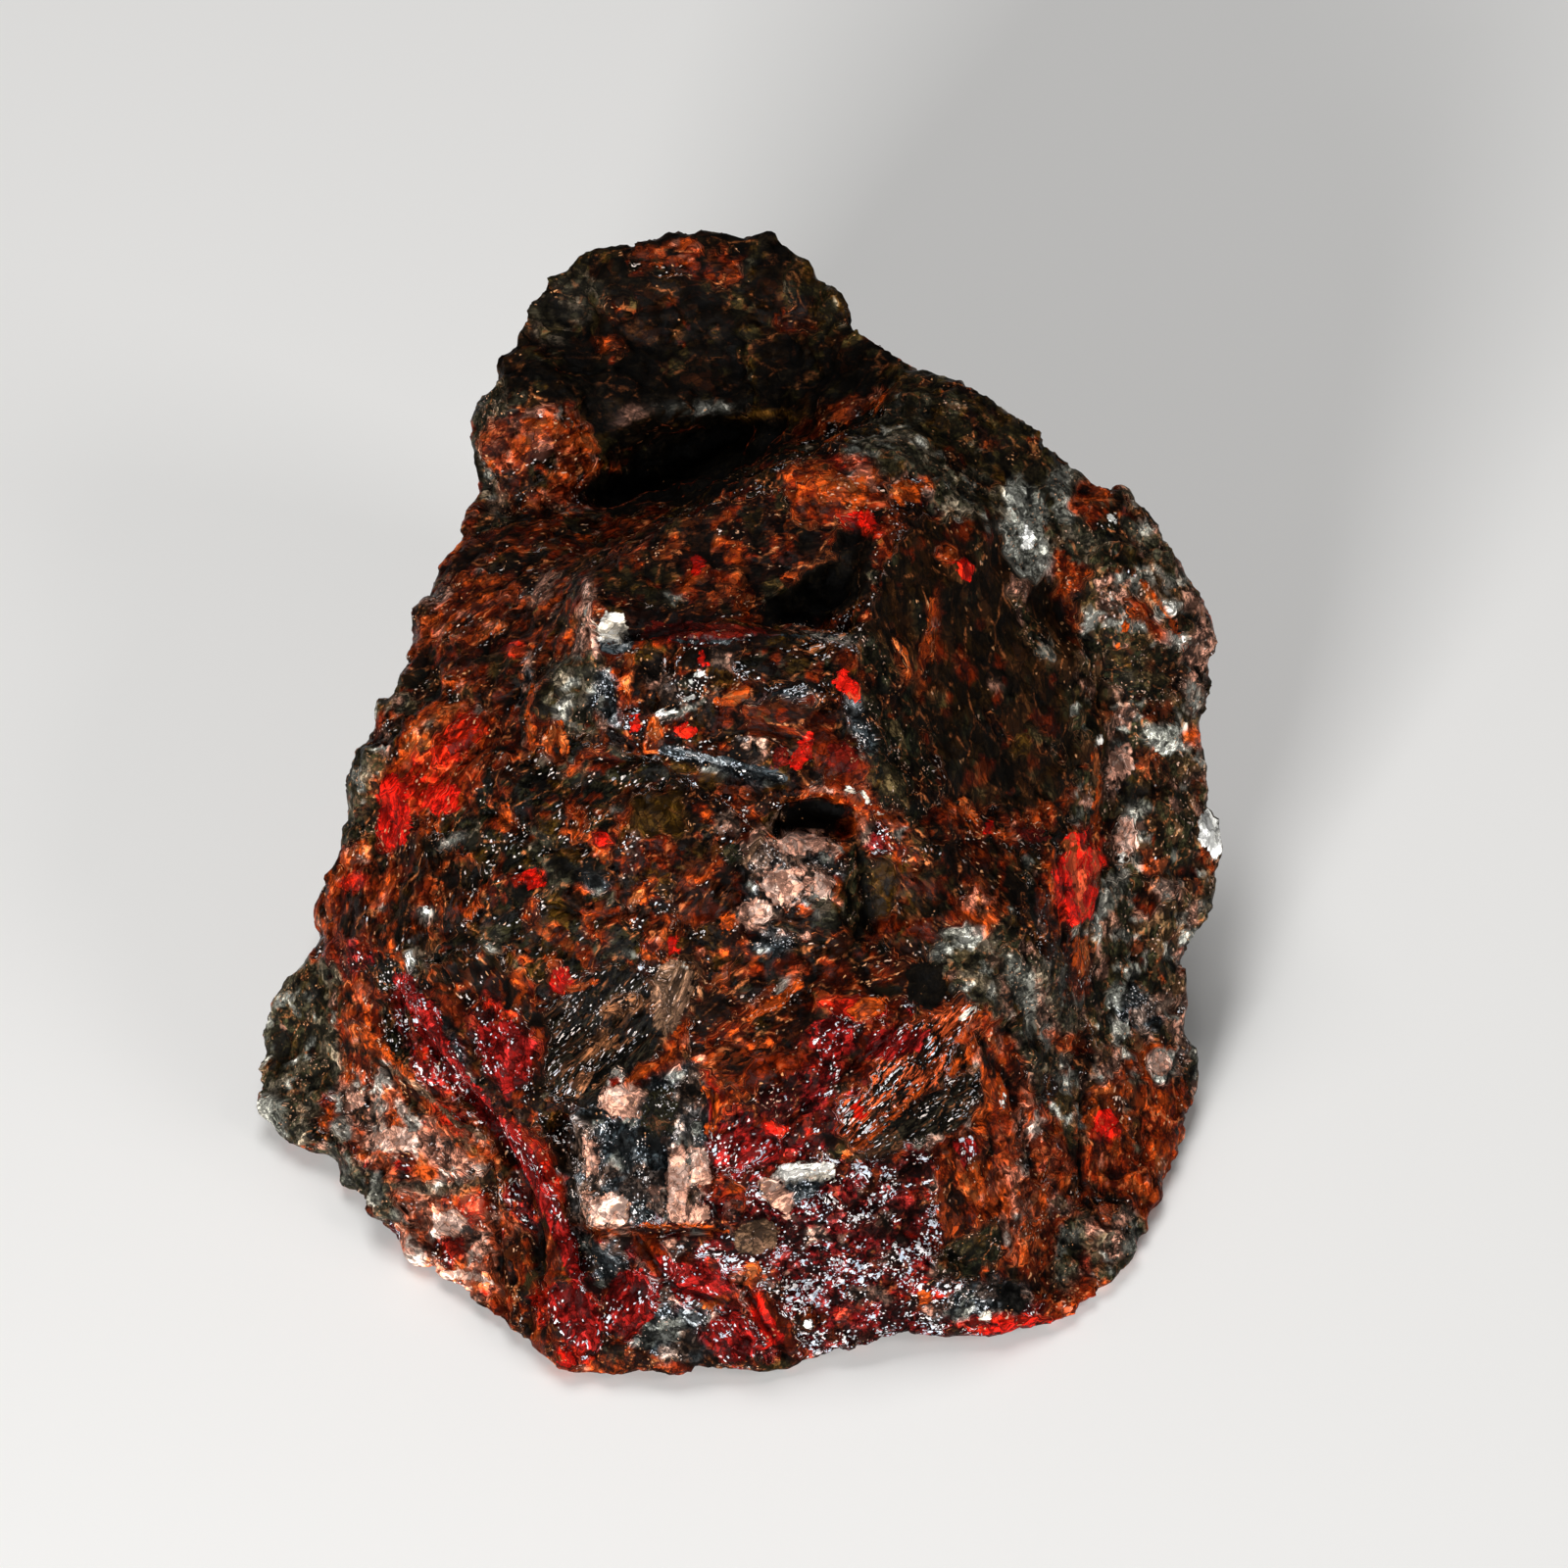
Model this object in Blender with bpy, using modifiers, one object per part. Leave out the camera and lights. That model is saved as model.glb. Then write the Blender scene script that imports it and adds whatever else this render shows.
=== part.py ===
"""A broken lump of massive diaspore rock: one stone that rests on a flat sole.

The stone is drafted the way a stonecutter marks out a block. Its arrises, the lines where two broken faces
meet, are drawn on a board that leans back 45 degrees in front of the stone, each point with its distance from
the board. The faces between them are stretched from arris to arris, first over the side that faces the board
and then over the side behind, and the two sides close along the stone's outline. The plain form is then
roughened grain by grain like a fresh fracture, and cut off level where it stands.
"""

import math

import bmesh
import bpy
from mathutils import Vector, noise
from mathutils.geometry import delaunay_2d_cdt

MM = 0.001

# The board: how far it leans, how far off the draughtsman's eye is, and the point of the stone at its middle.
BOARD_LEAN = math.radians(45)
EYE_DISTANCE = 300 * MM
BOARD_MIDDLE = Vector((2.2, -8.6, 21.2)) * MM
ACROSS = Vector((1, 0, 0))
UPWARD = Vector((0, math.sin(BOARD_LEAN), math.cos(BOARD_LEAN)))
TOWARD = Vector((0, -math.cos(BOARD_LEAN), math.sin(BOARD_LEAN)))

# The sole is first modelled this much too deep, and is then cut off level.
SOLE_ALLOWANCE = 0.5 * MM
SOLE_INSET = 0.91

# The grain of the broken surface: (grain size, how steeply its facets lie) from coarse to fine.
FRACTURE_GRAINS = ((5.2 * MM, 0.12), (2.4 * MM, 0.13))
FRACTURE_WAVE = 0.28 * MM
FRACTURE_WAVE_LENGTH = 7.0 * MM
WAVE_ROUGHNESS = 0.9
WAVE_RATIO = 2.1
WAVE_LAYERS = 3
LIE_SEED = 11.3

# The smooth face keeps this part of the roughness, and the rest comes back with this power of the distance.
SMOOTH_PART = 0.15
SMOOTH_FADE = 3

# Remeshing wears this much off the arrises, and it is put back all over.
WORN_OFF = 0.2 * MM

MESH_SIZE = 0.7 * MM
MOST_TRIANGLES = 9400


def seen(across, up, near):
    """The point drawn at a place on the board, near millimetres in front of the board."""
    depth = near * MM
    spread = (EYE_DISTANCE - depth) / EYE_DISTANCE * MM
    return BOARD_MIDDLE + ACROSS * (across * spread) + UPWARD * (up * spread) + TOWARD * depth


def low(across, up, height):
    """The point drawn at a place on the board, height millimetres above the ground."""
    eye = BOARD_MIDDLE + TOWARD * EYE_DISTANCE
    sight = seen(across, up, 0) - eye
    return eye + sight * ((height * MM - eye.z) / sight.z)


def hidden(across, back, height):
    """A point of the hidden side, straight in the part's own frame."""
    return Vector((across, back, height)) * MM


# Corners where several arrises meet.
APEX = seen(5.25, 16.6, -4.8)
LEDGE_LEFT = seen(-10.1, 7.6, -2.0)
LEDGE_RIGHT = seen(3.6, 7.25, 0.4)
SPINE_STEP = seen(4.0, 3.25, 0.8)
SPINE_END = seen(7.75, -3.6, 0.8)
CREST_END = seen(12.25, 12.0, -8.5)
SHADOW_END = seen(2.75, 8.5, -3.6)
RED_CORNER = seen(14.0, -3.1, -5.6)
COLUMN_STEP = seen(15.6, -7.5, -8.4)
COLUMN_FOOT = seen(14.25, -14.0, -6.0)
STREAK_HEAD = seen(10.0, -11.75, 0.2)
PIT_END = seen(4.2, -2.6, 0.6)
LEDGE_END = seen(-9.5, 18.4, -19.4)
KNOB_LEFT = seen(-15.15, 20.0, -20.5)
KNOB_WAIST = seen(-15.7, 15.0, -19.0)
KNOB_BROW_LEFT = seen(-12.4, 25.75, -21.5)
KNOB_BROW_RIGHT = seen(3.4, 24.4, -18.0)
SHOULDER_TOP = seen(-16.1, 13.25, -18.0)
TOE_NECK = seen(-23.9, -8.0, -11.5)
TOE_FOOT = low(-22.5, -20.25, 0.9)
OUTER_RIB_FOOT = low(-13.9, -27.0, 0.8)
RIB_FOOT = low(-8.0, -30.1, 0.9)
RIGHT_TOE_FOOT = low(18.1, -24.25, 0.9)

# The outline, clockwise from the tip of the left toe: the upper part, and the foot that the stone stands on.
UPPER_OUTLINE = [
    # left toe and left side
    low(-27.7, -17.3, 1.6), seen(-26.5, -13.0, -12.5), seen(-25.5, -10.25, -12.0), TOE_NECK,
    seen(-23.3, -4.5, -10.5), seen(-22.5, -2.5, -10.0), seen(-22.25, 0.5, -9.5), seen(-21.0, 2.9, -10.0),
    seen(-19.0, 6.25, -13.0), seen(-18.4, 9.75, -15.0), seen(-17.5, 11.5, -16.5), SHOULDER_TOP,
    KNOB_WAIST, seen(-15.95, 18.0, -20.0), KNOB_LEFT, seen(-13.8, 21.75, -21.0),
    # over the knob
    seen(-13.4, 24.0, -21.5), KNOB_BROW_LEFT, seen(-10.0, 27.1, -21.0), seen(-7.0, 28.0, -20.5),
    seen(-4.0, 28.5, -20.0), seen(-0.75, 28.2, -20.0), seen(1.25, 26.6, -19.5), KNOB_BROW_RIGHT,
    # right shoulder and right side
    seen(6.25, 21.5, -14.0), seen(8.75, 20.6, -11.5), seen(11.0, 19.25, -10.5), seen(12.9, 18.0, -10.5),
    seen(13.9, 16.5, -11.5), seen(15.25, 15.75, -12.0), seen(17.5, 15.15, -12.5), seen(19.5, 12.75, -12.5),
    seen(21.1, 10.25, -13.0), seen(21.9, 7.5, -13.0), seen(21.7, 4.0, -13.0), seen(21.1, 1.25, -12.5),
    seen(22.0, -1.25, -13.0), seen(22.3, -3.0, -13.0), seen(22.0, -5.75, -13.0), seen(21.6, -7.25, -12.5),
    seen(20.75, -8.25, -12.5), seen(20.65, -11.75, -12.0), seen(21.1, -15.0, -12.0),
]
FOOT = [
    low(20.75, -17.5, 1.2), low(19.4, -21.1, 0.7), RIGHT_TOE_FOOT, low(15.0, -26.9, 0.6),
    low(13.25, -27.85, 1.1), low(9.0, -27.9, 0.8), low(5.0, -28.2, 1.2), low(1.75, -29.2, 0.7),
    low(-1.0, -30.0, 0.8), low(-5.5, -30.0, 1.2), RIB_FOOT, low(-10.75, -30.2, 0.7), low(-12.5, -28.9, 1.0),
    OUTER_RIB_FOOT, low(-18.0, -25.0, 0.8), low(-20.0, -22.85, 1.1), TOE_FOOT, low(-24.75, -18.4, 0.8),
]

FRONT_ARRISES = {
    # the crest, the dark face under it, and the ledge at that face's foot
    "crest": [
        seen(-10.1, 10.0, -3.5), seen(-8.0, 11.5, -4.2), seen(-5.0, 13.4, -4.6), seen(-2.0, 15.0, -4.8),
        seen(0.0, 16.0, -4.8), seen(3.0, 16.6, -4.8), APEX, seen(7.25, 15.5, -5.2), seen(10.0, 13.5, -6.5),
        CREST_END,
    ],
    "ledge": [
        LEDGE_LEFT, seen(-8.0, 7.25, -0.8), seen(-5.0, 7.75, 0.2), seen(-0.5, 7.9, 0.3), LEDGE_RIGHT,
    ],
    "ledge back": [seen(-7.5, 8.0, -2.2), seen(-4.75, 8.5, -2.2), seen(-0.5, 8.8, -3.2), SHADOW_END],
    "shadow corner": [seen(3.5, 12.2, -4.4), seen(3.0, 10.4, -4.4), SHADOW_END],
    "spine": [
        APEX, seen(4.6, 12.75, -1.8), seen(4.0, 10.0, -0.4), LEDGE_RIGHT, SPINE_STEP, seen(5.25, 0.0, 1.0),
        seen(6.6, -2.5, 1.2), SPINE_END,
    ],
    # the valley behind the crest and the knob beyond it
    "crest back": [
        seen(-10.5, 11.0, -11.0), seen(-7.75, 12.6, -14.0), seen(-5.0, 14.3, -18.0),
        seen(-2.0, 16.0, -19.0), seen(0.0, 17.1, -17.0), seen(3.0, 18.4, -14.0), seen(5.75, 18.5, -10.0),
    ],
    "valley": [
        seen(-9.4, 14.4, -21.5), seen(-6.0, 16.1, -24.0), seen(-2.75, 18.0, -23.5), seen(1.5, 20.4, -18.5),
    ],
    "knob ledge": [LEDGE_END, seen(-6.0, 18.75, -19.6), seen(-2.0, 19.1, -20.2), seen(1.0, 21.4, -18.6)],
    "knob block": [KNOB_LEFT, seen(-12.0, 20.4, -18.4), seen(-9.5, 19.5, -19.0), LEDGE_END],
    "knob block foot": [KNOB_WAIST, seen(-12.75, 13.9, -18.2), seen(-10.0, 15.4, -20.0)],
    "far brow": [
        KNOB_BROW_LEFT, seen(-8.0, 25.0, -20.4), seen(-3.5, 25.5, -19.6), seen(0.5, 24.75, -18.8),
        KNOB_BROW_RIGHT,
    ],
    "shoulder": [SHOULDER_TOP, seen(-13.0, 11.25, -13.5), seen(-11.25, 8.9, -6.5), LEDGE_LEFT],
    "left brow": [
        LEDGE_LEFT, seen(-12.0, 5.0, -2.4), seen(-13.25, 2.0, -2.6), seen(-16.0, 2.75, -6.0),
        seen(-19.0, 3.0, -8.4),
    ],
    # the smooth face right of the spine, and the column that stands back from it
    "smooth face rim": [
        CREST_END, seen(13.1, 8.75, -8.4), seen(15.4, 4.4, -8.8), seen(15.7, -1.5, -8.0), RED_CORNER,
        seen(10.0, -2.5, -2.4), SPINE_END,
    ],
    "column edge": [
        CREST_END, seen(14.25, 8.0, -10.6), seen(16.5, 3.9, -11.2), seen(16.8, 0.0, -11.0),
        seen(16.4, -4.0, -9.8), COLUMN_STEP, seen(14.9, -10.5, -7.0), COLUMN_FOOT,
    ],
    "column front": [
        seen(15.5, 13.4, -10.4), seen(17.0, 8.6, -10.2), seen(18.2, 4.0, -10.6), seen(18.6, -1.0, -10.4),
        seen(17.8, -6.0, -9.8),
    ],
    "red corner": [RED_CORNER, seen(15.6, -4.0, -6.8), seen(15.1, -6.5, -6.6)],
    "right toe": [
        COLUMN_STEP, seen(17.0, -13.0, -9.2), seen(15.6, -16.0, -7.2), seen(15.6, -22.0, -4.6),
        RIGHT_TOE_FOOT,
    ],
    # the steps in the big front slope
    "grey step": [
        seen(6.25, -9.25, 0.8), seen(8.75, -7.75, 0.6), seen(12.0, -7.4, -1.2), seen(13.3, -9.25, -2.2),
        COLUMN_FOOT,
    ],
    "grey step foot": [
        STREAK_HEAD, seen(12.0, -13.1, -2.4), seen(13.1, -19.5, -3.2), seen(13.6, -24.5, -2.8),
    ],
    "streaked face": [STREAK_HEAD, seen(5.25, -15.5, 2.0), seen(2.5, -19.5, 2.4)],
    "upper step": [seen(-10.0, 1.5, -0.8), seen(-5.5, 1.6, 0.6), seen(0.0, 0.35, 1.2), SPINE_STEP],
    "upper step foot": [seen(-9.5, 0.7, -1.2), seen(-5.4, 0.7, -0.2), seen(-0.4, -0.4, 0.4)],
    "pit rim": [
        seen(-0.8, -2.3, 0.8), seen(0.0, -1.3, 0.9), seen(2.0, -0.9, 1.0), seen(3.8, -1.5, 1.0), PIT_END,
    ],
    "pit floor": [seen(0.2, -2.0, -2.8), seen(2.0, -1.7, -3.6), seen(3.3, -2.1, -2.8)],
    "lump": [
        seen(-2.0, -4.1, 1.0), seen(-0.1, -3.1, 1.8), seen(2.3, -3.3, 1.8), seen(3.1, -5.0, 1.7),
        seen(2.3, -7.0, 1.9), seen(-0.5, -7.4, 1.6),
    ],
    "lump side": [PIT_END, seen(4.2, -5.25, -0.9), seen(5.25, -7.25, -0.7)],
    "block": [
        seen(-10.4, -15.4, 1.1), seen(-3.9, -15.2, 2.0), seen(-3.4, -22.4, 2.8), seen(-9.5, -22.5, 1.8),
        seen(-10.4, -15.4, 1.1),
    ],
    "block crevice": [seen(-11.3, -17.6, -0.9), seen(-10.7, -21.6, -0.5), seen(-10.0, -24.5, 0.1)],
    "lower brow": [
        seen(-9.2, -23.4, 1.4), seen(-7.0, -23.1, 1.8), seen(-2.9, -23.1, 2.5), seen(2.5, -24.25, 2.1),
        seen(6.5, -25.0, 1.2), seen(10.5, -26.5, -0.4),
    ],
    # the ribs that run down to the left
    "rib": [
        seen(-21.1, -7.9, -6.2), seen(-18.5, -10.5, -3.2), seen(-16.5, -14.75, -1.5), seen(-13.5, -18.5, 0.0),
        seen(-11.8, -21.6, 0.7), seen(-11.0, -26.0, 0.8), RIB_FOOT,
    ],
    "rib groove": [
        seen(-20.0, -10.8, -6.2), seen(-18.0, -13.9, -4.8), seen(-15.0, -17.3, -3.3),
        seen(-13.1, -21.25, -2.1), seen(-12.4, -26.0, -1.3),
    ],
    "outer rib": [
        seen(-22.4, -10.4, -8.0), seen(-20.75, -13.0, -5.8), seen(-18.5, -15.6, -4.3),
        seen(-14.9, -18.2, -2.3), seen(-14.4, -23.0, -2.4), OUTER_RIB_FOOT,
    ],
    "toe joint": [
        TOE_NECK, seen(-22.7, -9.25, -9.2), seen(-22.9, -13.0, -10.0), seen(-23.1, -16.0, -10.4), TOE_FOOT,
    ],
}

# Single points between the arrises, where a face swells or sinks.
FRONT_SWELLS = [
    # the front slope
    seen(-3.0, 5.0, 0.9), seen(1.0, 5.0, 1.2), seen(-8.0, 4.0, -0.5), seen(-12.0, -2.5, -1.0),
    seen(-8.0, -3.0, 0.4), seen(-4.0, -2.5, 0.9), seen(-15.5, -2.5, -3.2), seen(-17.5, -6.5, -3.8),
    seen(-12.0, -8.0, -0.6), seen(-7.5, -9.0, 0.7), seen(-3.5, -10.5, 1.6), seen(-15.0, -11.5, -1.6),
    seen(-8.0, -13.0, 0.5), seen(-6.8, -18.5, 1.5), seen(-0.5, -14.0, 2.2), seen(1.0, -10.0, 1.5),
    seen(3.5, -11.0, 1.4), seen(6.5, -11.5, 1.0), seen(6.5, -6.0, 0.6), seen(-1.0, -19.5, 2.7),
    seen(7.0, -20.0, 1.0), seen(10.0, -17.5, -0.1), seen(10.5, -23.0, 0.2), seen(-5.5, -26.5, 1.2),
    seen(-1.0, -27.0, 1.3), seen(14.9, -25.5, -2.8), seen(0.75, -5.25, 2.4), seen(10.5, -9.6, -0.4),
    # the left side
    seen(-20.0, 0.0, -7.6), seen(-18.5, -2.5, -5.8), seen(-21.4, -5.0, -8.4), seen(-15.0, 7.0, -9.4),
    seen(-17.25, 8.0, -12.4), seen(-15.0, 10.0, -12.6), seen(-20.0, -17.5, -6.2), seen(-17.0, -20.5, -3.8),
    seen(-17.75, -23.1, -4.0), seen(-25.0, -12.0, -11.6), seen(-25.4, -15.25, -11.8),
    # the right side
    seen(8.0, 8.0, -3.6), seen(9.0, 2.0, -2.8), seen(12.5, 2.0, -5.8), seen(20.0, 9.0, -11.6),
    seen(20.0, 5.0, -12.2), seen(20.2, 1.0, -11.8), seen(20.2, -4.0, -12.0), seen(19.6, -10.0, -11.2),
    seen(19.0, -15.5, -9.6), seen(18.0, -19.5, -8.0), seen(12.0, 15.0, -9.0), seen(9.5, 17.5, -9.6),
    seen(7.0, 18.4, -9.4),
    # the knob
    seen(-12.75, 17.5, -17.6), seen(-7.5, 22.5, -21.6), seen(-2.5, 22.5, -20.8), seen(-12.0, 23.0, -22.4),
    seen(-5.0, 27.25, -20.2), seen(1.5, 23.0, -18.4),
]

REAR_ARRISES = {
    "sole": [
        hidden(-21.6, -4.4, 0), hidden(-17.6, 7.2, 0), hidden(-13.4, 16.4, 0), hidden(-6.2, 23.2, 0),
        hidden(3.6, 22.4, 0), hidden(11.6, 16.8, 0), hidden(19.0, 8.6, 0), hidden(20.6, -2.4, 0),
    ],
    "brow": [
        hidden(-21.5, -2.0, 6.4), hidden(-19.2, 7.0, 9.0), hidden(-15.2, 15.8, 12.0),
        hidden(-12.0, 26.0, 17.0), hidden(-3.2, 30.2, 18.5), hidden(7.0, 25.6, 16.0),
        hidden(15.2, 18.2, 15.4), hidden(22.2, 9.2, 12.0), hidden(24.2, 0.4, 7.5), hidden(23.0, -7.0, 4.6),
    ],
    "shelf": [
        hidden(-20.8, -0.4, 3.4), hidden(-18.2, 8.4, 4.2), hidden(-15.8, 17.6, 5.0),
        hidden(-7.6, 26.4, 7.0), hidden(2.4, 26.2, 8.6), hidden(9.6, 20.4, 5.4), hidden(18.2, 13.0, 6.4),
        hidden(22.4, 3.4, 3.6),
    ],
    "back rib": [
        hidden(-3.4, 28.4, 24.0), hidden(-3.2, 30.2, 18.5), hidden(-2.4, 29.0, 12.5), hidden(2.4, 26.2, 8.6),
    ],
}
REAR_SWELLS = [
    hidden(-9.4, 26.4, 22.5), hidden(4.0, 25.0, 20.6), hidden(12.6, 17.6, 19.4), hidden(21.4, 8.6, 16.6),
    hidden(-15.2, 13.6, 16.6), hidden(-9.0, 27.6, 11.6), hidden(11.6, 20.6, 10.4),
]

# The smooth face is drawn at this place, and is calm this far around.
SMOOTH_FACE = seen(9.6, 4.2, -3.6)
SMOOTH_FACE_REACH = 7.0 * MM


def sole_line():
    """The sole's edge: the foot line drawn in under the stone, and the rear edge."""
    corners = [point * SOLE_INSET for point in FOOT] + REAR_ARRISES["sole"]
    line = [Vector((corner.x, corner.y, -SOLE_ALLOWANCE)) for corner in corners]
    return line + line[:1]


def on_board(point):
    """Where the eye sees a point on the board, as a flat vector in millimetres."""
    offset = point - BOARD_MIDDLE
    spread = (EYE_DISTANCE - offset.dot(TOWARD)) / EYE_DISTANCE * MM
    return Vector((offset.dot(ACROSS), offset.dot(UPWARD))) / spread


def stretch_faces(outline, arrises, swells):
    """The points, the outline's first, and the triangles between them that keep every arris as an edge."""
    points = list(outline)
    numbers = {tuple(point): number for number, point in enumerate(points)}
    edges = []
    for point in [point for arris in arrises for point in arris] + swells:
        if tuple(point) not in numbers:
            numbers[tuple(point)] = len(points)
            points.append(point)
    for arris in arrises:
        chain = [numbers[tuple(point)] for point in arris]
        edges += zip(chain, chain[1:])
    rim = list(range(len(outline)))
    keep_inside = 1
    nearest = 1e-5
    found = delaunay_2d_cdt([on_board(point) for point in points], edges, [rim], keep_inside, nearest)
    triangles, sources = found[2], found[3]
    if any(not source for source in sources):
        raise ValueError("two arrises cross where neither has a point")
    return points, [[sources[corner][0] for corner in corners] for corners in triangles]


def block_out():
    """The stone's plain form: the two sides, closed along the outline."""
    outline = UPPER_OUTLINE + FOOT
    rear_arrises = [arris for name, arris in REAR_ARRISES.items() if name != "sole"] + [sole_line()]
    sides = (
        stretch_faces(outline, FRONT_ARRISES.values(), FRONT_SWELLS),
        stretch_faces(outline, rear_arrises, REAR_SWELLS),
    )
    form = bmesh.new()
    rim = [form.verts.new(point) for point in outline]
    for points, triangles in sides:
        corners = rim + [form.verts.new(point) for point in points[len(rim):]]
        for triangle in triangles:
            form.faces.new([corners[number] for number in triangle])
    bmesh.ops.recalc_face_normals(form, faces=form.faces)
    mesh = bpy.data.meshes.new("plain_form")
    form.to_mesh(mesh)
    form.free()
    return mesh


def take_shape(stone, modifier_type, **settings):
    """Gives the stone's mesh the shape that one modifier makes of it."""
    modifier = stone.modifiers.new(modifier_type.title(), modifier_type)
    for name, value in settings.items():
        setattr(modifier, name, value)
    graph = bpy.context.evaluated_depsgraph_get()
    shaped = bpy.data.meshes.new_from_object(stone.evaluated_get(graph))
    stone.modifiers.clear()
    stone.data = shaped


def grain_height(point, size, steepness):
    """Height of the broken surface in a grain: a small plane that lies its own way in each grain."""
    place = point / size
    centre = noise.voronoi(place)[1][0]
    lie = noise.cell_vector(centre * LIE_SEED) * 2 - Vector((1, 1, 1))
    return (place - centre).dot(lie) * steepness * size


def fracture_height(point):
    """How far the broken surface stands out at a point. It is low on the smooth face."""
    wave = noise.fractal(point / FRACTURE_WAVE_LENGTH, WAVE_ROUGHNESS, WAVE_RATIO, WAVE_LAYERS)
    height = wave * FRACTURE_WAVE
    for size, steepness in FRACTURE_GRAINS:
        height += grain_height(point, size, steepness)
    away = min((point - SMOOTH_FACE).length / SMOOTH_FACE_REACH, 1)
    return WORN_OFF + height * (SMOOTH_PART + (1 - SMOOTH_PART) * away ** SMOOTH_FADE)


def roughen(mesh):
    """Moves each point of the surface out or in by the fracture's height. The sole stays level."""
    facing_down = -0.8
    for vertex, normal in [(vertex, vertex.normal.copy()) for vertex in mesh.vertices]:
        if vertex.co.z > 0 or normal.z > facing_down:
            vertex.co += normal * fracture_height(vertex.co)
    mesh.update()


def cut_sole(mesh):
    """Cuts the stone off level at the ground and closes the cut."""
    level = 1e-6
    form = bmesh.new()
    form.from_mesh(mesh)
    everything = form.verts[:] + form.edges[:] + form.faces[:]
    cut = bmesh.ops.bisect_plane(
        form, geom=everything, plane_co=(0, 0, 0), plane_no=(0, 0, 1), clear_inner=True, dist=level
    )
    loop = [item for item in cut["geom_cut"] if isinstance(item, bmesh.types.BMEdge)]
    bmesh.ops.triangle_fill(form, edges=loop, use_beauty=True, use_dissolve=False)
    for vertex in form.verts:
        if abs(vertex.co.z) < level:
            vertex.co.z = 0
    bmesh.ops.triangulate(form, faces=form.faces)
    bmesh.ops.recalc_face_normals(form, faces=form.faces)
    form.to_mesh(mesh)
    form.free()


def rock_material():
    """Dark red-brown rock with a dull glassy shine."""
    material = bpy.data.materials.new("diaspore_rock")
    material.use_nodes = True
    shader = material.node_tree.nodes["Principled BSDF"]
    shader.inputs["Base Color"].default_value = (0.085, 0.022, 0.012, 1)
    shader.inputs["Roughness"].default_value = 0.45
    shader.inputs["Metallic"].default_value = 0.0
    return material


def build_stone(collection):
    """The finished stone as one object."""
    stone = bpy.data.objects.new("stone", block_out())
    collection.objects.link(stone)
    take_shape(stone, "REMESH", mode="VOXEL", voxel_size=MESH_SIZE)
    roughen(stone.data)
    triangles = sum(len(face.vertices) - 2 for face in stone.data.polygons)
    take_shape(stone, "DECIMATE", ratio=min(1.0, MOST_TRIANGLES / triangles))
    cut_sole(stone.data)
    stone.data.materials.clear()
    stone.data.materials.append(rock_material())
    return stone


def main():
    for leftover in list(bpy.data.objects):
        bpy.data.objects.remove(leftover)
    collection = bpy.data.collections.new("diaspore")
    bpy.context.scene.collection.children.link(collection)
    build_stone(collection)


main()
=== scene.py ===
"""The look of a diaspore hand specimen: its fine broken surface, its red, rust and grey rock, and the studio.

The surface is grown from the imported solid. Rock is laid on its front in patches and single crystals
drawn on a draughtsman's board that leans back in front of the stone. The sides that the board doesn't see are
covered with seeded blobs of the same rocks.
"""

import logging
import math
from dataclasses import dataclass, field
from enum import Enum
from typing import Any, Sequence

import bmesh
import bpy
import numpy as np
from mathutils import Matrix, Vector, noise


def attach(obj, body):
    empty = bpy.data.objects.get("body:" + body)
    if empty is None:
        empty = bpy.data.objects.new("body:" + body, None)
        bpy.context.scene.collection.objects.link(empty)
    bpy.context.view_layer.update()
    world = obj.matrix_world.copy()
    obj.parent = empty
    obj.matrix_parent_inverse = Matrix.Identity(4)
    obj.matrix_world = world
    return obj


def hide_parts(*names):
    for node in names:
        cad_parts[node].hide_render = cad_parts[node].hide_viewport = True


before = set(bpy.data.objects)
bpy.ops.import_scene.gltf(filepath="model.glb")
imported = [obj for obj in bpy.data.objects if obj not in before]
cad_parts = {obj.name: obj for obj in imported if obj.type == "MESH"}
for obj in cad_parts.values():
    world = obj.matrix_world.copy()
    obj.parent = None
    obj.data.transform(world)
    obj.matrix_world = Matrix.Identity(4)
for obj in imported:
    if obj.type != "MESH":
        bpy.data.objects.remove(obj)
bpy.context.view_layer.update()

LOG = logging.getLogger("diaspore")

MM = 0.001
NODE = "stone"
BODY = "root"
PIECE = "stone_surface"
LOT_SEED = 11.3
CRYSTAL_REACH = 0.6
FAR = 2.0
TINY = 1e-9
HALVES = (0.5, 0.5, 0.5)

Pair = tuple[float, float]
Triple = tuple[float, float, float]
Colour = Triple
Swings = Triple  # of a noise: how many a millimetre, their detail and their roughness


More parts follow.
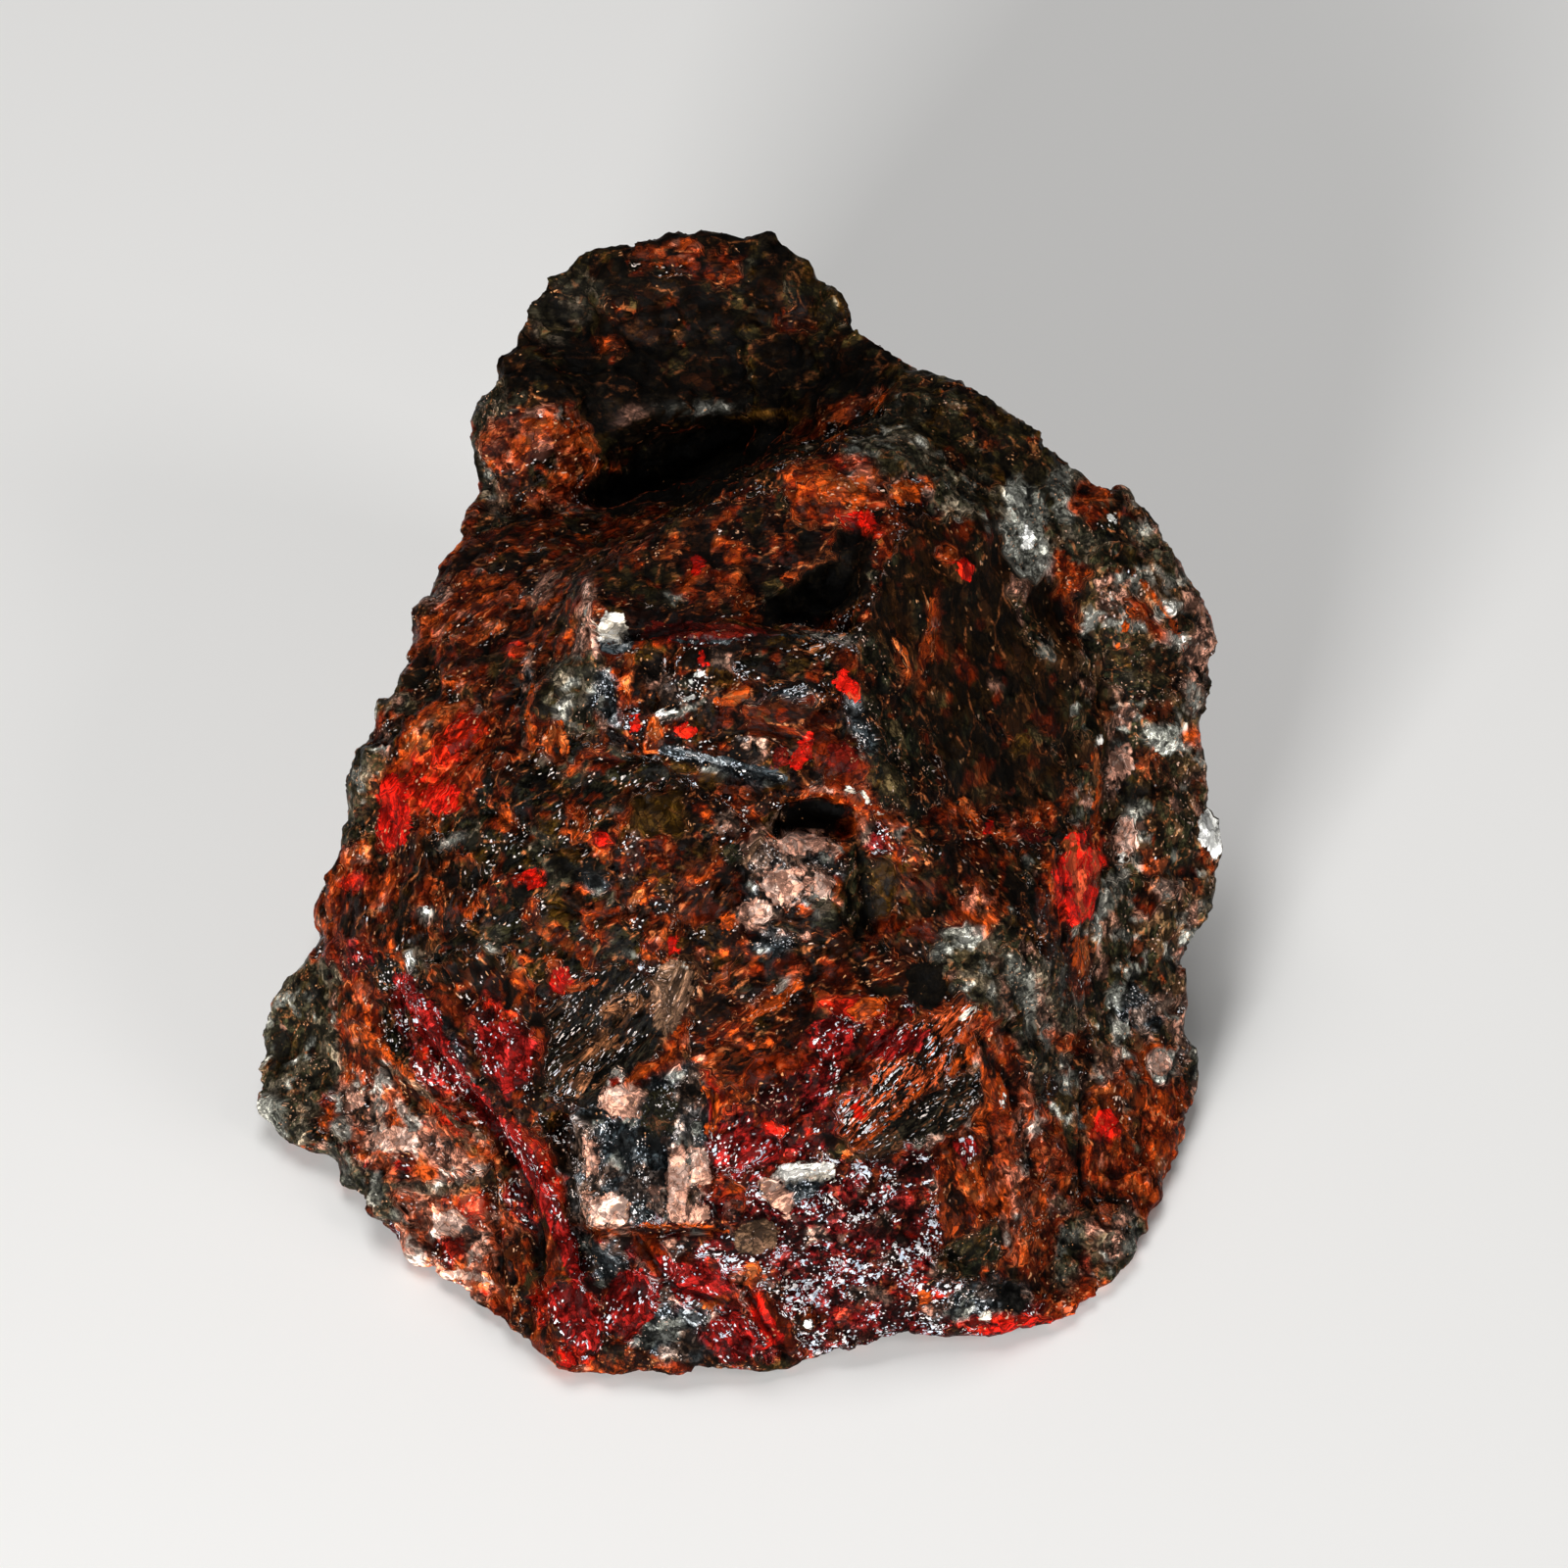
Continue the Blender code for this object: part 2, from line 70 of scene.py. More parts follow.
@dataclass(frozen=True)
class Board:
    """The board that the stone is drawn on.

    Attributes:
        middle: of the board, in metres.
        lean: how far it leans back, in radians.
        eye_distance: from its middle to the eye, in metres.
        picture_width: in metres.
        picture_steps: how many steps that width is counted in.
    """

    middle: Triple = (2.2 * MM, -8.6 * MM, 21.2 * MM)
    lean: float = math.radians(45)
    eye_distance: float = 300 * MM
    picture_width: float = 80 * MM
    picture_steps: int = 1600

    @property
    def toward(self) -> Vector:
        """The direction from the board to the eye."""
        return Vector((0, -math.cos(self.lean), math.sin(self.lean)))

    @property
    def upward(self) -> Vector:
        """The direction up the board."""
        return Vector((0, math.sin(self.lean), math.cos(self.lean)))

    @property
    def across(self) -> Vector:
        """The direction to the right along the board."""
        return Vector((1, 0, 0))

    @property
    def eye(self) -> Vector:
        """Where the eye is."""
        return Vector(self.middle) + self.toward * self.eye_distance

    @property
    def step(self) -> float:
        """One of the steps that the board's width is counted in, in millimetres."""
        return self.picture_width / MM / self.picture_steps

    def places(self, points: np.ndarray) -> np.ndarray:
        """Where the eye sees points on the board.

        Args:
            points: one point a row, in metres.

        Returns:
            One place a row: millimetres across and up the board.
        """
        offset = points - np.array(self.middle)
        spread = (self.eye_distance - offset @ np.array(self.toward)) / self.eye_distance * MM
        flat = np.stack([offset @ np.array(self.across), offset @ np.array(self.upward)], axis=1)
        return flat / spread[:, None]

    def step_place(self, column: float, row: float) -> np.ndarray:
        """Millimetres across and up from the board's middle, from steps from its left and top."""
        half = self.picture_steps / 2
        return np.array([column - half, half - row]) * self.step


BOARD = Board()


def line_gap(places: np.ndarray, start: np.ndarray, end: np.ndarray) -> np.ndarray:
    """How far places lie from the straight line between two others.

    Args:
        places: one a row.
        start: one end of the line.
        end: its other end.

    Returns:
        One distance a place.
    """
    run = end - start
    along = np.clip((places - start) @ run / max(run @ run, TINY), 0, 1)
    return np.linalg.norm(places - start - along[:, None] * run, axis=1)


@dataclass(frozen=True)
class RockLook:
    """How one kind of rock in the specimen looks.

    Attributes:
        main: colour of most of its grains.
        fleck: colour of the grains that stand out.
        flecks: share of those grains, 0 to 1.
        veins: how much thin rusty veining it has, 0 to 1.
        glints: how much its grain faces tilt and flash, 1 being much, and how many painted glints, bright
            specks, go into its colour.
        roughness: of the grain faces.
        grain: size of the grains against the common size.
        stretch: how many times longer than wide the grains are.
        relief: how rough the broken surface is against the common one.
    """

    main: Colour
    fleck: Colour
    flecks: float = 0.25
    veins: float = 0.2
    glints: float = 0.3
    roughness: float = 0.35
    grain: float = 1.0
    stretch: float = 1.0
    relief: float = 1.0


class Rock(Enum):
    """The kinds of rock in the specimen."""

    # The knob's rock: partly its own dark colour and partly painted shade, made darker because the knob lies
    # away from the light.
    DARK_SHADED_KNOB = RockLook((0.003, 0.0015, 0.0005), (0.015, 0.004, 0.001), 0.28, 0.1, 0.05, 0.6, 1.2, 1.5)
    BLACK = RockLook((0.003, 0.002, 0.001), (0.01, 0.006, 0.003), 0.2, 0, 0.1, 0.6)
    OLIVE = RockLook((0.012, 0.009, 0.003), (0.06, 0.04, 0.012), 0.33, 0.2, 0.15, 0.5, 0.8, 1.5, 1.1)
    GREY = RockLook((0.032, 0.028, 0.017), (0.28, 0.22, 0.15), 0.34, 0.1, 0.3, 0.4, 0.8, 1.3, 1.2)
    COLUMN = RockLook((0.027, 0.024, 0.01), (0.25, 0.12, 0.052), 0.36, 0.5, 0.4, 0.45, 1, 1.4, 1.1)
    PALE = RockLook((0.09, 0.09, 0.075), (0.46, 0.46, 0.4), 0.45, 0, 0.35, 0.35, 0.8, 1, 1.1)
    WHITE = RockLook((0.68, 0.67, 0.62), (0.95, 0.94, 0.9), 0.5, 0, 0.2, 0.3, 0.7)
    RUST = RockLook((0.11, 0.009, 0.001), (0.48, 0.06, 0.006), 0.42, 0.4, 0.25, 0.4, 1, 1.8)
    RUST_BROWN = RockLook((0.02, 0.004, 0.001), (0.24, 0.032, 0.005), 0.32, 0.6, 0.3, 0.35, 1, 2.2)
    SCARLET = RockLook((0.4, 0.011, 0.003), (0.64, 0.05, 0.011), 0.34, 0, 0.35, 0.2, 1.2, 1.5, 0.8)
    RED_BROWN = RockLook((0.08, 0.007, 0.001), (0.15, 0.022, 0.004), 0.28, 0.1, 0.15, 0.2, 1.6, 1, 0.5)
    AMBER = RockLook((0.035, 0.016, 0.002), (0.12, 0.05, 0.008), 0.28, 0.1, 0.2, 0.2, 1.5, 1, 0.6)
    BROWN_GLASS = RockLook((0.018, 0.004, 0.001), (0.21, 0.034, 0.01), 0.25, 0.6, 0.7, 0.2, 1, 1.25)
    CRIMSON = RockLook((0.095, 0.004, 0.004), (0.36, 0.022, 0.016), 0.38, 0.2, 0.95, 0.18, 1, 1.5)
    CRIMSON_GLITTER = RockLook(
        (0.08, 0.004, 0.004), (0.36, 0.05, 0.044), 0.34, 0.1, 1.45, 0.15, 0.9, 1.3, 1.1,
    )
    BLACK_GREEN = RockLook((0.008, 0.007, 0.003), (0.12, 0.045, 0.018), 0.2, 0.5, 0.6, 0.2, 1, 2)
    GREEN_FIBRES = RockLook((0.009, 0.007, 0.004), (0.23, 0.09, 0.04), 0.3, 0.2, 0.6, 0.25, 0.6, 5)
    TAN_FIBRES = RockLook((0.22, 0.085, 0.034), (0.02, 0.01, 0.005), 0.45, 0.1, 0.4, 0.3, 0.6, 5)
    STRIATED = RockLook((0.33, 0.05, 0.012), (0.024, 0.009, 0.004), 0.42, 0.1, 0.8, 0.25, 0.6, 6)
    SMOOTH_DARK = RockLook((0.009, 0.004, 0.001), (0.04, 0.014, 0.004), 0.35, 0.3, 0.2, 0.4, 1.2, 1.8, 0.5)
    GREEN_GRIT = RockLook((0.009, 0.009, 0.004), (0.05, 0.034, 0.014), 0.38, 0.3, 0.45, 0.4, 0.7, 1.5, 0.9)
    CREST_BROWN = RockLook((0.007, 0.002, 0.001), (0.1, 0.022, 0.005), 0.32, 0.5, 0.35, 0.4, 0.9, 2, 1.2)
    BLUE_BLACK = RockLook((0.014, 0.018, 0.02), (0.26, 0.28, 0.29), 0.34, 0, 0.7, 0.2, 0.7, 1.3, 1.2)
    PINK_TAN = RockLook((0.33, 0.155, 0.105), (0.05, 0.03, 0.02), 0.38, 0.1, 0.45, 0.3, 0.9, 1.3)
    PINK_GREY = RockLook((0.046, 0.028, 0.02), (0.4, 0.25, 0.18), 0.38, 0.1, 0.55, 0.3, 0.7, 1.2, 1.4)
    SALMON_RUST = RockLook((0.25, 0.042, 0.014), (0.6, 0.21, 0.125), 0.42, 0.2, 0.5, 0.3, 1, 1.8)

    RED_GLASS = RockLook((0.33, 0.005, 0.002), (0.64, 0.02, 0.006), 0.36, 0, 0.3, 0.2, 1, 1.4, 0.5)
    FLAME_GLASS = RockLook((0.78, 0.012, 0.005), (0.9, 0.12, 0.04), 0.3, 0, 0.2, 0.2, 1.2, 1.4, 0.5)
    CRIMSON_GLASS = RockLook((0.12, 0.004, 0.003), (0.33, 0.014, 0.012), 0.36, 0, 0.7, 0.16, 1, 1.6, 0.6)
    DARK_RED_GLASS = RockLook((0.07, 0.004, 0.002), (0.15, 0.012, 0.005), 0.3, 0, 0.3, 0.2, 1.2, 1.3, 0.5)
    ORANGE_GLASS = RockLook((0.3, 0.04, 0.004), (0.56, 0.14, 0.035), 0.36, 0, 0.4, 0.3, 1, 1.6, 0.6)
    CREAM = RockLook((0.46, 0.4, 0.32), (0.8, 0.76, 0.69), 0.48, 0, 0.25, 0.4, 1, 1.2, 0.6)
    PINK_STONE = RockLook((0.36, 0.175, 0.12), (0.64, 0.41, 0.325), 0.42, 0, 0.3, 0.4, 0.7, 1.3, 0.6)
    TAN_STONE = RockLook((0.075, 0.04, 0.022), (0.32, 0.165, 0.095), 0.36, 0, 0.45, 0.4, 0.7, 3, 0.6)

# Which other rocks occur as small grains in a rock, and the share of it that they take.
GUESTS: dict[Rock, tuple[float, tuple[Rock, ...]]] = {
    Rock.BROWN_GLASS: (
        0.42, (Rock.RED_BROWN, Rock.BLACK_GREEN, Rock.RUST, Rock.AMBER, Rock.BLACK, Rock.PINK_GREY),
    ),
    Rock.BLACK_GREEN: (
        0.42, (Rock.BLACK, Rock.RUST_BROWN, Rock.AMBER, Rock.BROWN_GLASS, Rock.RUST, Rock.GREY),
    ),
    Rock.RUST_BROWN: (
        0.45, (Rock.BLACK, Rock.RUST, Rock.BROWN_GLASS, Rock.BLACK_GREEN, Rock.RED_BROWN, Rock.OLIVE),
    ),
    Rock.COLUMN: (0.45, (Rock.OLIVE, Rock.PALE, Rock.RUST_BROWN, Rock.PINK_TAN, Rock.GREEN_GRIT)),
    Rock.CRIMSON_GLITTER: (0.36, (Rock.CRIMSON, Rock.BLACK, Rock.PINK_GREY, Rock.RUST_BROWN)),
    Rock.CRIMSON: (0.3, (Rock.BLACK, Rock.SCARLET, Rock.RUST_BROWN, Rock.RED_BROWN)),
    Rock.SALMON_RUST: (0.4, (Rock.PINK_TAN, Rock.RUST, Rock.CRIMSON, Rock.ORANGE_GLASS, Rock.PALE)),
    Rock.RUST: (0.3, (Rock.RUST_BROWN, Rock.SALMON_RUST, Rock.ORANGE_GLASS, Rock.BLACK_GREEN)),
    Rock.GREY: (0.32, (Rock.OLIVE, Rock.PALE, Rock.COLUMN, Rock.GREEN_GRIT)),
    Rock.DARK_SHADED_KNOB: (0.25, (Rock.BLACK, Rock.SMOOTH_DARK, Rock.OLIVE)),
    Rock.SMOOTH_DARK: (0.15, (Rock.GREEN_GRIT, Rock.RED_BROWN, Rock.BLACK)),
    Rock.GREEN_GRIT: (0.3, (Rock.BLACK, Rock.OLIVE, Rock.CREST_BROWN)),
    Rock.CREST_BROWN: (0.36, (Rock.BLACK, Rock.RUST_BROWN, Rock.RUST, Rock.OLIVE)),
    Rock.OLIVE: (0.4, (Rock.GREY, Rock.CREST_BROWN, Rock.AMBER, Rock.BLACK)),
    Rock.BLUE_BLACK: (0.34, (Rock.BLACK, Rock.PALE, Rock.PINK_GREY)),
    Rock.PINK_TAN: (0.3, (Rock.PINK_GREY, Rock.PALE, Rock.BLACK_GREEN)),
    Rock.PINK_GREY: (0.4, (Rock.PINK_TAN, Rock.BLUE_BLACK, Rock.BLACK)),
}


@dataclass(frozen=True)
class Patch:
    """A patch of one rock on the front of the stone, an ellipse with an irregular edge.

    Attributes:
        rock: the kind of rock.
        across: place of its middle on the board, in millimetres.
        up: the same, up the board.
        half_length: in millimetres.
        half_width: in millimetres.
        turn: how far its length is turned from level, anticlockwise, in degrees.
        strength: how fully it covers what lies under it.
    """

    rock: Rock
    across: float
    up: float
    half_length: float
    half_width: float
    turn: float = 0.0
    strength: float = 1.0


def laid(*runs: tuple[Any, ...]) -> tuple[Patch, ...]:
    """Patches from runs of one rock each.

    Args:
        runs: each a rock, and then the ellipses of it that are laid one after the other.

    Returns:
        The patches, in the order in which they are laid.
    """
    return tuple(Patch(rock, *ellipse) for rock, *ellipses in runs for ellipse in ellipses)


# The patches, from the broad ones underneath to the small ones on top of them.
BROAD_PATCHES = laid(
    # The knob, painted darkest: partly its own colour and partly painted shade.
    (Rock.DARK_SHADED_KNOB, (-5, 23.5, 11.5, 7)),
    (Rock.RUST_BROWN, (-14.5, 8.5, 6, 6)),
    (Rock.CREST_BROWN, (-3, 10.8, 7.6, 3.4, 15)),
    (Rock.BROWN_GLASS, (-3.5, 3.2, 9, 5, 12)),
    (Rock.BLACK_GREEN, (-12, -5, 8.5, 6.2, 35)),
    (Rock.BROWN_GLASS, (-5, -4.5, 4, 4, 40)),
    (Rock.RUST_BROWN, (-19.8, -5.5, 3.2, 4.5, 90), (1, -11.5, 6.5, 3.6, 25), (8, -5, 4.5, 4, -50)),
    # The facet at the right, painted very dark: partly its own colour and partly painted shade of a facet
    # turned from the light.
    (Rock.SMOOTH_DARK, (10, 5.5, 8.6, 5.4, 100)),
    (Rock.GREEN_GRIT, (5.8, 2.2, 5.4, 1.7, -74)),
    (Rock.OLIVE, (10, 18.8, 5.2, 3, -30)),
    (Rock.COLUMN, (18.8, 3, 12.5, 3.8, 90), (18, -9.5, 5, 3.4, 90)),
    (Rock.GREY, (-25, -13.5, 5.2, 2.6, 80)),
    (Rock.OLIVE, (-24.4, -12, 3.2, 1.5, 84, 0.5)),
    (Rock.CRIMSON_GLITTER, (2, -24.2, 12.5, 5, 8)),
    (Rock.RUST_BROWN, (11.5, -20.5, 6, 3.8, 100)),
    (Rock.RUST, (11.6, -19.5, 5.6, 3, 105, 0.75)),
    (Rock.SALMON_RUST, (12.4, -19.6, 3, 1.4, 100, 0.8)),
    (Rock.RUST, (18, -18.2, 4.8, 2.8, 80)),
    (Rock.RUST_BROWN, (-15.5, -12, 3.4, 3.4, -60), (-13, -23, 6, 1.8, 95)),
    (Rock.SALMON_RUST, (-16.8, -23.6, 4, 2.6, -25), (-19, -17.5, 4.4, 2.8, -25)),
)
FINE_PATCHES = laid(
    # the knob and the valley
    # Black painted in the valley behind the crest, as painted shade.
    (Rock.BLACK, (-5, 16, 5.6, 1.9, 22)),
    (Rock.RUST_BROWN, (-5, 26.6, 3, 1.1)),
    (Rock.GREY, (-11.6, 24.4, 2.6, 1.5, 20, 0.4), (-14.8, 17.3, 4.4, 0.9, 96, 0.6)),
    (Rock.RUST, (-12.4, 16.8, 2.9, 2.6, 20, 0.7)),
    (Rock.PINK_TAN, (-12.8, 17.4, 1.6, 0.4, -50, 0.3)),
    (Rock.RUST_BROWN, (-12, 13, 3.4, 0.9, 10)),
    (Rock.OLIVE, (1.6, 25.2, 2, 1.2, -45)),
    (Rock.RUST_BROWN, (0.5, 23.7, 1, 0.7), (-8.3, 24.3, 0.9, 0.6), (-8.7, 22.4, 0.9, 0.6)),
    # A thin pink and pale line along the ledge of the knob, as a painted highlight.
    (Rock.PINK_TAN, (-7.6, 19, 1.2, 0.35, 10, 0.3)),
    (Rock.PALE, (-4.4, 19.1, 2.4, 0.35, -3, 0.4)),
    (Rock.AMBER, (-0.6, 18.8, 1.8, 0.3, 8)),
    (Rock.RUST_BROWN, (2.2, 18.6, 2.2, 0.7, 20), (-8, 12.9, 2.4, 0.8, 30)),
    (Rock.RUST, (-16, 9, 2.4, 1.6, 40, 0.6), (-17, 12.2, 1.6, 0.8, 40, 0.7)),
    # Pinkish spots painted on the left flank, as painted glints.
    (Rock.PINK_TAN, (-17.7, 9.6, 0.8, 0.3, 10), (-12.2, 9.9, 1.2, 0.45, 50, 0.6)),
    (Rock.SCARLET, (-13.9, 7, 0.5, 0.4)),
    (Rock.PINK_GREY, (-13.1, 4.4, 2.4, 0.3, 86)),
    # the crest and the face under it
    (Rock.RUST, (3, 14.9, 2.9, 1.7, -4)),
    (Rock.SCARLET, (3.6, 16, 1.1, 0.6, -20, 0.5), (3.8, 13.3, 1.3, 0.4, -28, 0.8)),
    (Rock.RUST, (0.4, 15.5, 1.3, 0.4, 25)),
    (Rock.SALMON_RUST, (6.5, 15, 1.1, 0.8)),
    (Rock.RUST, (-4.6, 11.2, 0.5, 0.5)),
    (Rock.RED_BROWN, (-3.2, 10.6, 1, 0.4, -20)),
    (Rock.RUST, (-2.1, 9.4, 0.4, 0.5)),
    # Black painted into the corner under the crest beside the spine, as a painted shadow.
    (Rock.BLACK, (1.4, 9.4, 3, 1.2, 18), (3.6, 11.6, 0.7, 2, -10, 0.9)),
    (Rock.CRIMSON, (-4.3, 7.55, 3.4, 0.42, 2)),
    (Rock.OLIVE, (-6.8, 9.6, 1.6, 0.5, -14)),
    (Rock.PALE, (-5.6, 9.5, 0.5, 0.2, -20)),
    (Rock.PINK_TAN, (-10.1, 8.5, 1.8, 0.36, 80)),
    # A pale line along the top edge of the front face, as a painted highlight.
    (Rock.PALE, (2.2, 7.5, 1.6, 0.22, -8, 0.8)),
    # the right shoulder and the column
    (Rock.PALE, (12.4, 13.2, 2.9, 1.4, 106, 0.95), (14, 15.4, 0.8, 0.5, 60, 0.8)),
    (Rock.RUST, (15.8, 14.9, 1.5, 0.9, 30)),
    (Rock.RUST_BROWN, (17, 13.4, 1.8, 1.1, -30)),
    (Rock.GREY, (18.8, 12.4, 1.8, 0.8, -45)),
    (Rock.PINK_TAN, (12, 9.9, 0.7, 0.5, 30, 0.8)),
    (Rock.COLUMN, (12.6, 7.9, 2, 0.4, -60)),
    (Rock.PALE, (19.7, 9, 0.7, 0.45, 20), (20, 7.4, 0.8, 0.45, -20)),
    (Rock.RUST, (18.6, 8.4, 1.6, 0.35, -40)),
    (Rock.GREEN_GRIT, (18.4, 5.8, 2.4, 1.6)),
    (Rock.PALE, (19.6, 2.3, 1.2, 0.8, -20)),
    (Rock.PINK_TAN, (21.2, 6.2, 2.6, 0.6, 80)),
    (Rock.RUST, (20.9, 2.4, 0.9, 0.6, -20)),
    (Rock.PINK_TAN, (16.9, 0.9, 1.6, 0.7, 85), (17.4, -2.7, 1.3, 0.6, 70)),
    (Rock.RUST_BROWN, (18.6, -5.6, 1.2, 0.8, 70)),
    (Rock.PINK_TAN, (19.3, -5.4, 0.8, 0.6)),
    (Rock.BLUE_BLACK, (18.4, -11.5, 1.6, 1.1, -40)),
    (Rock.PALE, (17, -10.8, 0.7, 0.5, 60), (19.3, -14.6, 0.9, 0.8)),
    (Rock.PINK_TAN, (20.4, -12.6, 2.2, 0.5, 92), (16.5, -14.1, 1, 0.6, 90)),
    (Rock.RUST, (8.2, 11.9, 0.7, 0.5, 30), (7.4, 7.4, 2.2, 0.28, 82, 0.9)),
    (Rock.RUST_BROWN, (5.8, 6.8, 1.2, 0.22, 100)),
    (Rock.RUST, (6, 5.4, 0.6, 0.25, 60, 0.8)),
    (Rock.RUST_BROWN, (7.6, 1.2, 1.8, 0.25, 112)),
    (Rock.PINK_TAN, (10.8, 5.2, 0.5, 0.3, 10, 0.7)),
    (Rock.AMBER, (12.1, 2.1, 0.7, 0.5, 30)),
    (Rock.RUST_BROWN, (11, 2.9, 1, 0.3, -60)),
    (Rock.GREEN_GRIT, (13.5, 2.1, 1.4, 0.4, -50)),
    # the glassy upper front
    (Rock.GREY, (-10.5, 4.6, 2.3, 1.5, 90)),
    (Rock.BLUE_BLACK, (-8.9, 4.2, 1.8, 0.7, -70)),
    (Rock.OLIVE, (-12.2, 4.2, 1, 0.8, 60)),
    (Rock.PINK_GREY, (-6, 5, 1.5, 0.45, -52, 0.9)),
    # White dashes painted on the upper front, as painted glints.
    (Rock.PALE, (-5.3, 3.8, 1.4, 0.2, 16)),
    (Rock.BLACK_GREEN, (0.3, 6, 2.4, 0.9, -5)),
    (Rock.BLUE_BLACK, (0.1, 4.5, 1.4, 0.3, 6)),
    (Rock.RUST_BROWN, (0.6, 3, 2.6, 1.2, -14)),
    (Rock.RUST, (-2.4, 4.5, 1.1, 0.35, 28), (-8, 5.2, 1.7, 0.3, 88), (-6.5, 2.6, 0.9, 0.35, 102)),
    (Rock.BLUE_BLACK, (3.8, 3.2, 1.6, 0.5, -62)),
    (Rock.RED_BROWN, (2.8, 1, 1.6, 1.1, -10)),
    (Rock.AMBER, (-4.9, 1, 1.1, 0.5, -22), (-6.6, -1.6, 1.8, 0.8, -10)),
    # A streak painted along a small step, as a painted highlight.
    (Rock.BLUE_BLACK, (-2.9, 1, 3, 0.4, -12)),
    (Rock.RUST, (-11.7, 2.2, 1.2, 0.55, 84), (-12.9, 2.6, 1.4, 0.3, 84, 0.8), (-10.6, 1.1, 1, 0.25, 40)),
    # the left side
    (Rock.RUST, (-17.6, 1.2, 3.6, 2.6, 52)),
    (Rock.SCARLET,
        (-18.3, 0.2, 2.2, 1.2, 48, 0.85), (-16.7, 2.3, 1.7, 0.9, 42, 0.7), (-19.9, -1.7, 1.6, 0.75, 82),
    ),
    (Rock.GREY, (-22, -0.4, 2.8, 0.6, 84)),
    (Rock.RUST, (-22.1, -4.4, 1.5, 0.5, 62), (-23, -6, 1.8, 0.5, 70)),
    (Rock.SCARLET, (-22, -5, 0.6, 0.45)),
    (Rock.RUST, (-20.6, -5.6, 1.2, 0.5, 76)),
    # the dark centre
    # Pale dots painted in the dark centre, as painted glints.
    (Rock.PALE, (-16.9, -2.9, 0.9, 0.2, 18), (-18.3, -6.5, 0.4, 0.3), (-19, -8.8, 0.6, 0.28, 100)),
    (Rock.RUST,
        (-14.2, -1.7, 0.7, 0.35, 110), (-10.6, -2, 1, 0.5, 70), (-10.7, -0.8, 0.8, 0.25, 66),
        (-8.2, -1.7, 0.7, 0.3, 70),
    ),
    (Rock.SCARLET, (-9.4, -2.9, 0.5, 0.4, 20)),
    (Rock.AMBER, (-7.5, -2, 0.7, 0.3, -50)),
    (Rock.SCARLET, (-13, -4.9, 0.8, 0.35, 20)),
    (Rock.BLUE_BLACK, (-9.6, -5, 0.9, 0.5, -50)),
    (Rock.RUST,
        (-7.2, -5.4, 1, 0.35, 35), (-13, -6.7, 0.6, 0.25, 80), (-14.1, -8.8, 0.7, 0.3, 60),
        (-15.8, -6.3, 0.8, 0.25, 70), (-6.3, -7.6, 0.9, 0.5, 60), (-11.5, -9.6, 1.1, 0.5, 110),
        (-10.3, -10.3, 1, 0.28, 45),
    ),
    (Rock.RUST_BROWN, (-3.8, -5.5, 2.4, 1.6, 50)),
    (Rock.RUST, (-3.6, -4.4, 1.4, 0.3, 40)),
    # the lump, the pit over it and the hollow beside it
    (Rock.PINK_GREY, (0.2, -5, 2.7, 2.3, 90)),
    (Rock.PINK_TAN, (1.5, -2.9, 1.5, 0.5, -8), (-1.5, -2.7, 1.5, 0.25, 42)),
    (Rock.BLUE_BLACK, (2.4, -3.9, 1.4, 0.35, -20)),
    (Rock.PINK_TAN, (0.6, -5, 2, 0.8, -8)),
    (Rock.BLACK_GREEN, (1.8, -6.7, 2.1, 0.7, 5)),
    (Rock.PINK_TAN, (-1.4, -6.6, 1.3, 0.7, 15, 0.9)),
    (Rock.BLUE_BLACK, (-0.5, -8.3, 1.2, 0.6, 10)),
    (Rock.GREEN_GRIT, (3.8, -5.2, 2.9, 0.9, 84)),
    # Black painted in the pit over the lump, as painted shade.
    (Rock.BLACK, (1.4, -1.7, 1.9, 0.8, 8)),
    (Rock.AMBER, (4.9, -5.3, 1.4, 0.8, 80)),
    (Rock.RED_BROWN, (5.2, -7.2, 0.9, 0.5, 60)),
    (Rock.CRIMSON_GLITTER, (4.8, -2.9, 0.9, 0.6, -30)),
    (Rock.RUST, (5.8, -3, 0.9, 0.5, 100)),
    # the fibrous crystals
    (Rock.TAN_FIBRES, (-5.4, -10.6, 2, 1, 66), (-6.6, -12.8, 1.7, 0.6, 52)),
    (Rock.GREEN_FIBRES, (-9.2, -12.8, 4, 2.7, 48)),
    (Rock.TAN_FIBRES, (-8.4, -11.3, 0.9, 0.4, 20), (-9.6, -13.2, 0.9, 0.4, 50)),
    (Rock.RUST, (-0.4, -10.7, 1.5, 0.45, 42), (-2.6, -12.4, 2, 0.35, 36)),
    # the block and what lies round it
    (Rock.BLUE_BLACK, (-7.2, -18.4, 4, 3.6, 90)),
    (Rock.PINK_GREY, (-10.4, -20, 2.7, 0.8, 88)),
    (Rock.PINK_TAN, (-9.1, -21.9, 1.2, 0.8), (-4.9, -20.2, 2.4, 0.9, 92)),
    (Rock.AMBER, (-5, -21.2, 0.6, 0.35)),
    (Rock.PINK_GREY, (-5.2, -16.6, 2.2, 0.7, 80)),
    (Rock.SALMON_RUST, (-8.2, -15.8, 1.1, 1)),
    (Rock.PINK_TAN, (-7, -15.9, 0.5, 0.7)),
    (Rock.RUST, (-7, -14.5, 1.3, 0.35, 38)),
    (Rock.SCARLET, (-3.7, -16.3, 1.4, 0.3, 100)),
    (Rock.RUST, (-6.2, -22.8, 2.4, 0.25)),
    (Rock.CRIMSON, (1.4, -15.9, 6.6, 2.4, 43)),
    (Rock.RED_BROWN, (-0.4, -14.4, 2, 1, 30)),
    (Rock.CRIMSON, (-2.2, -18.2, 2.2, 1.4, 40)),
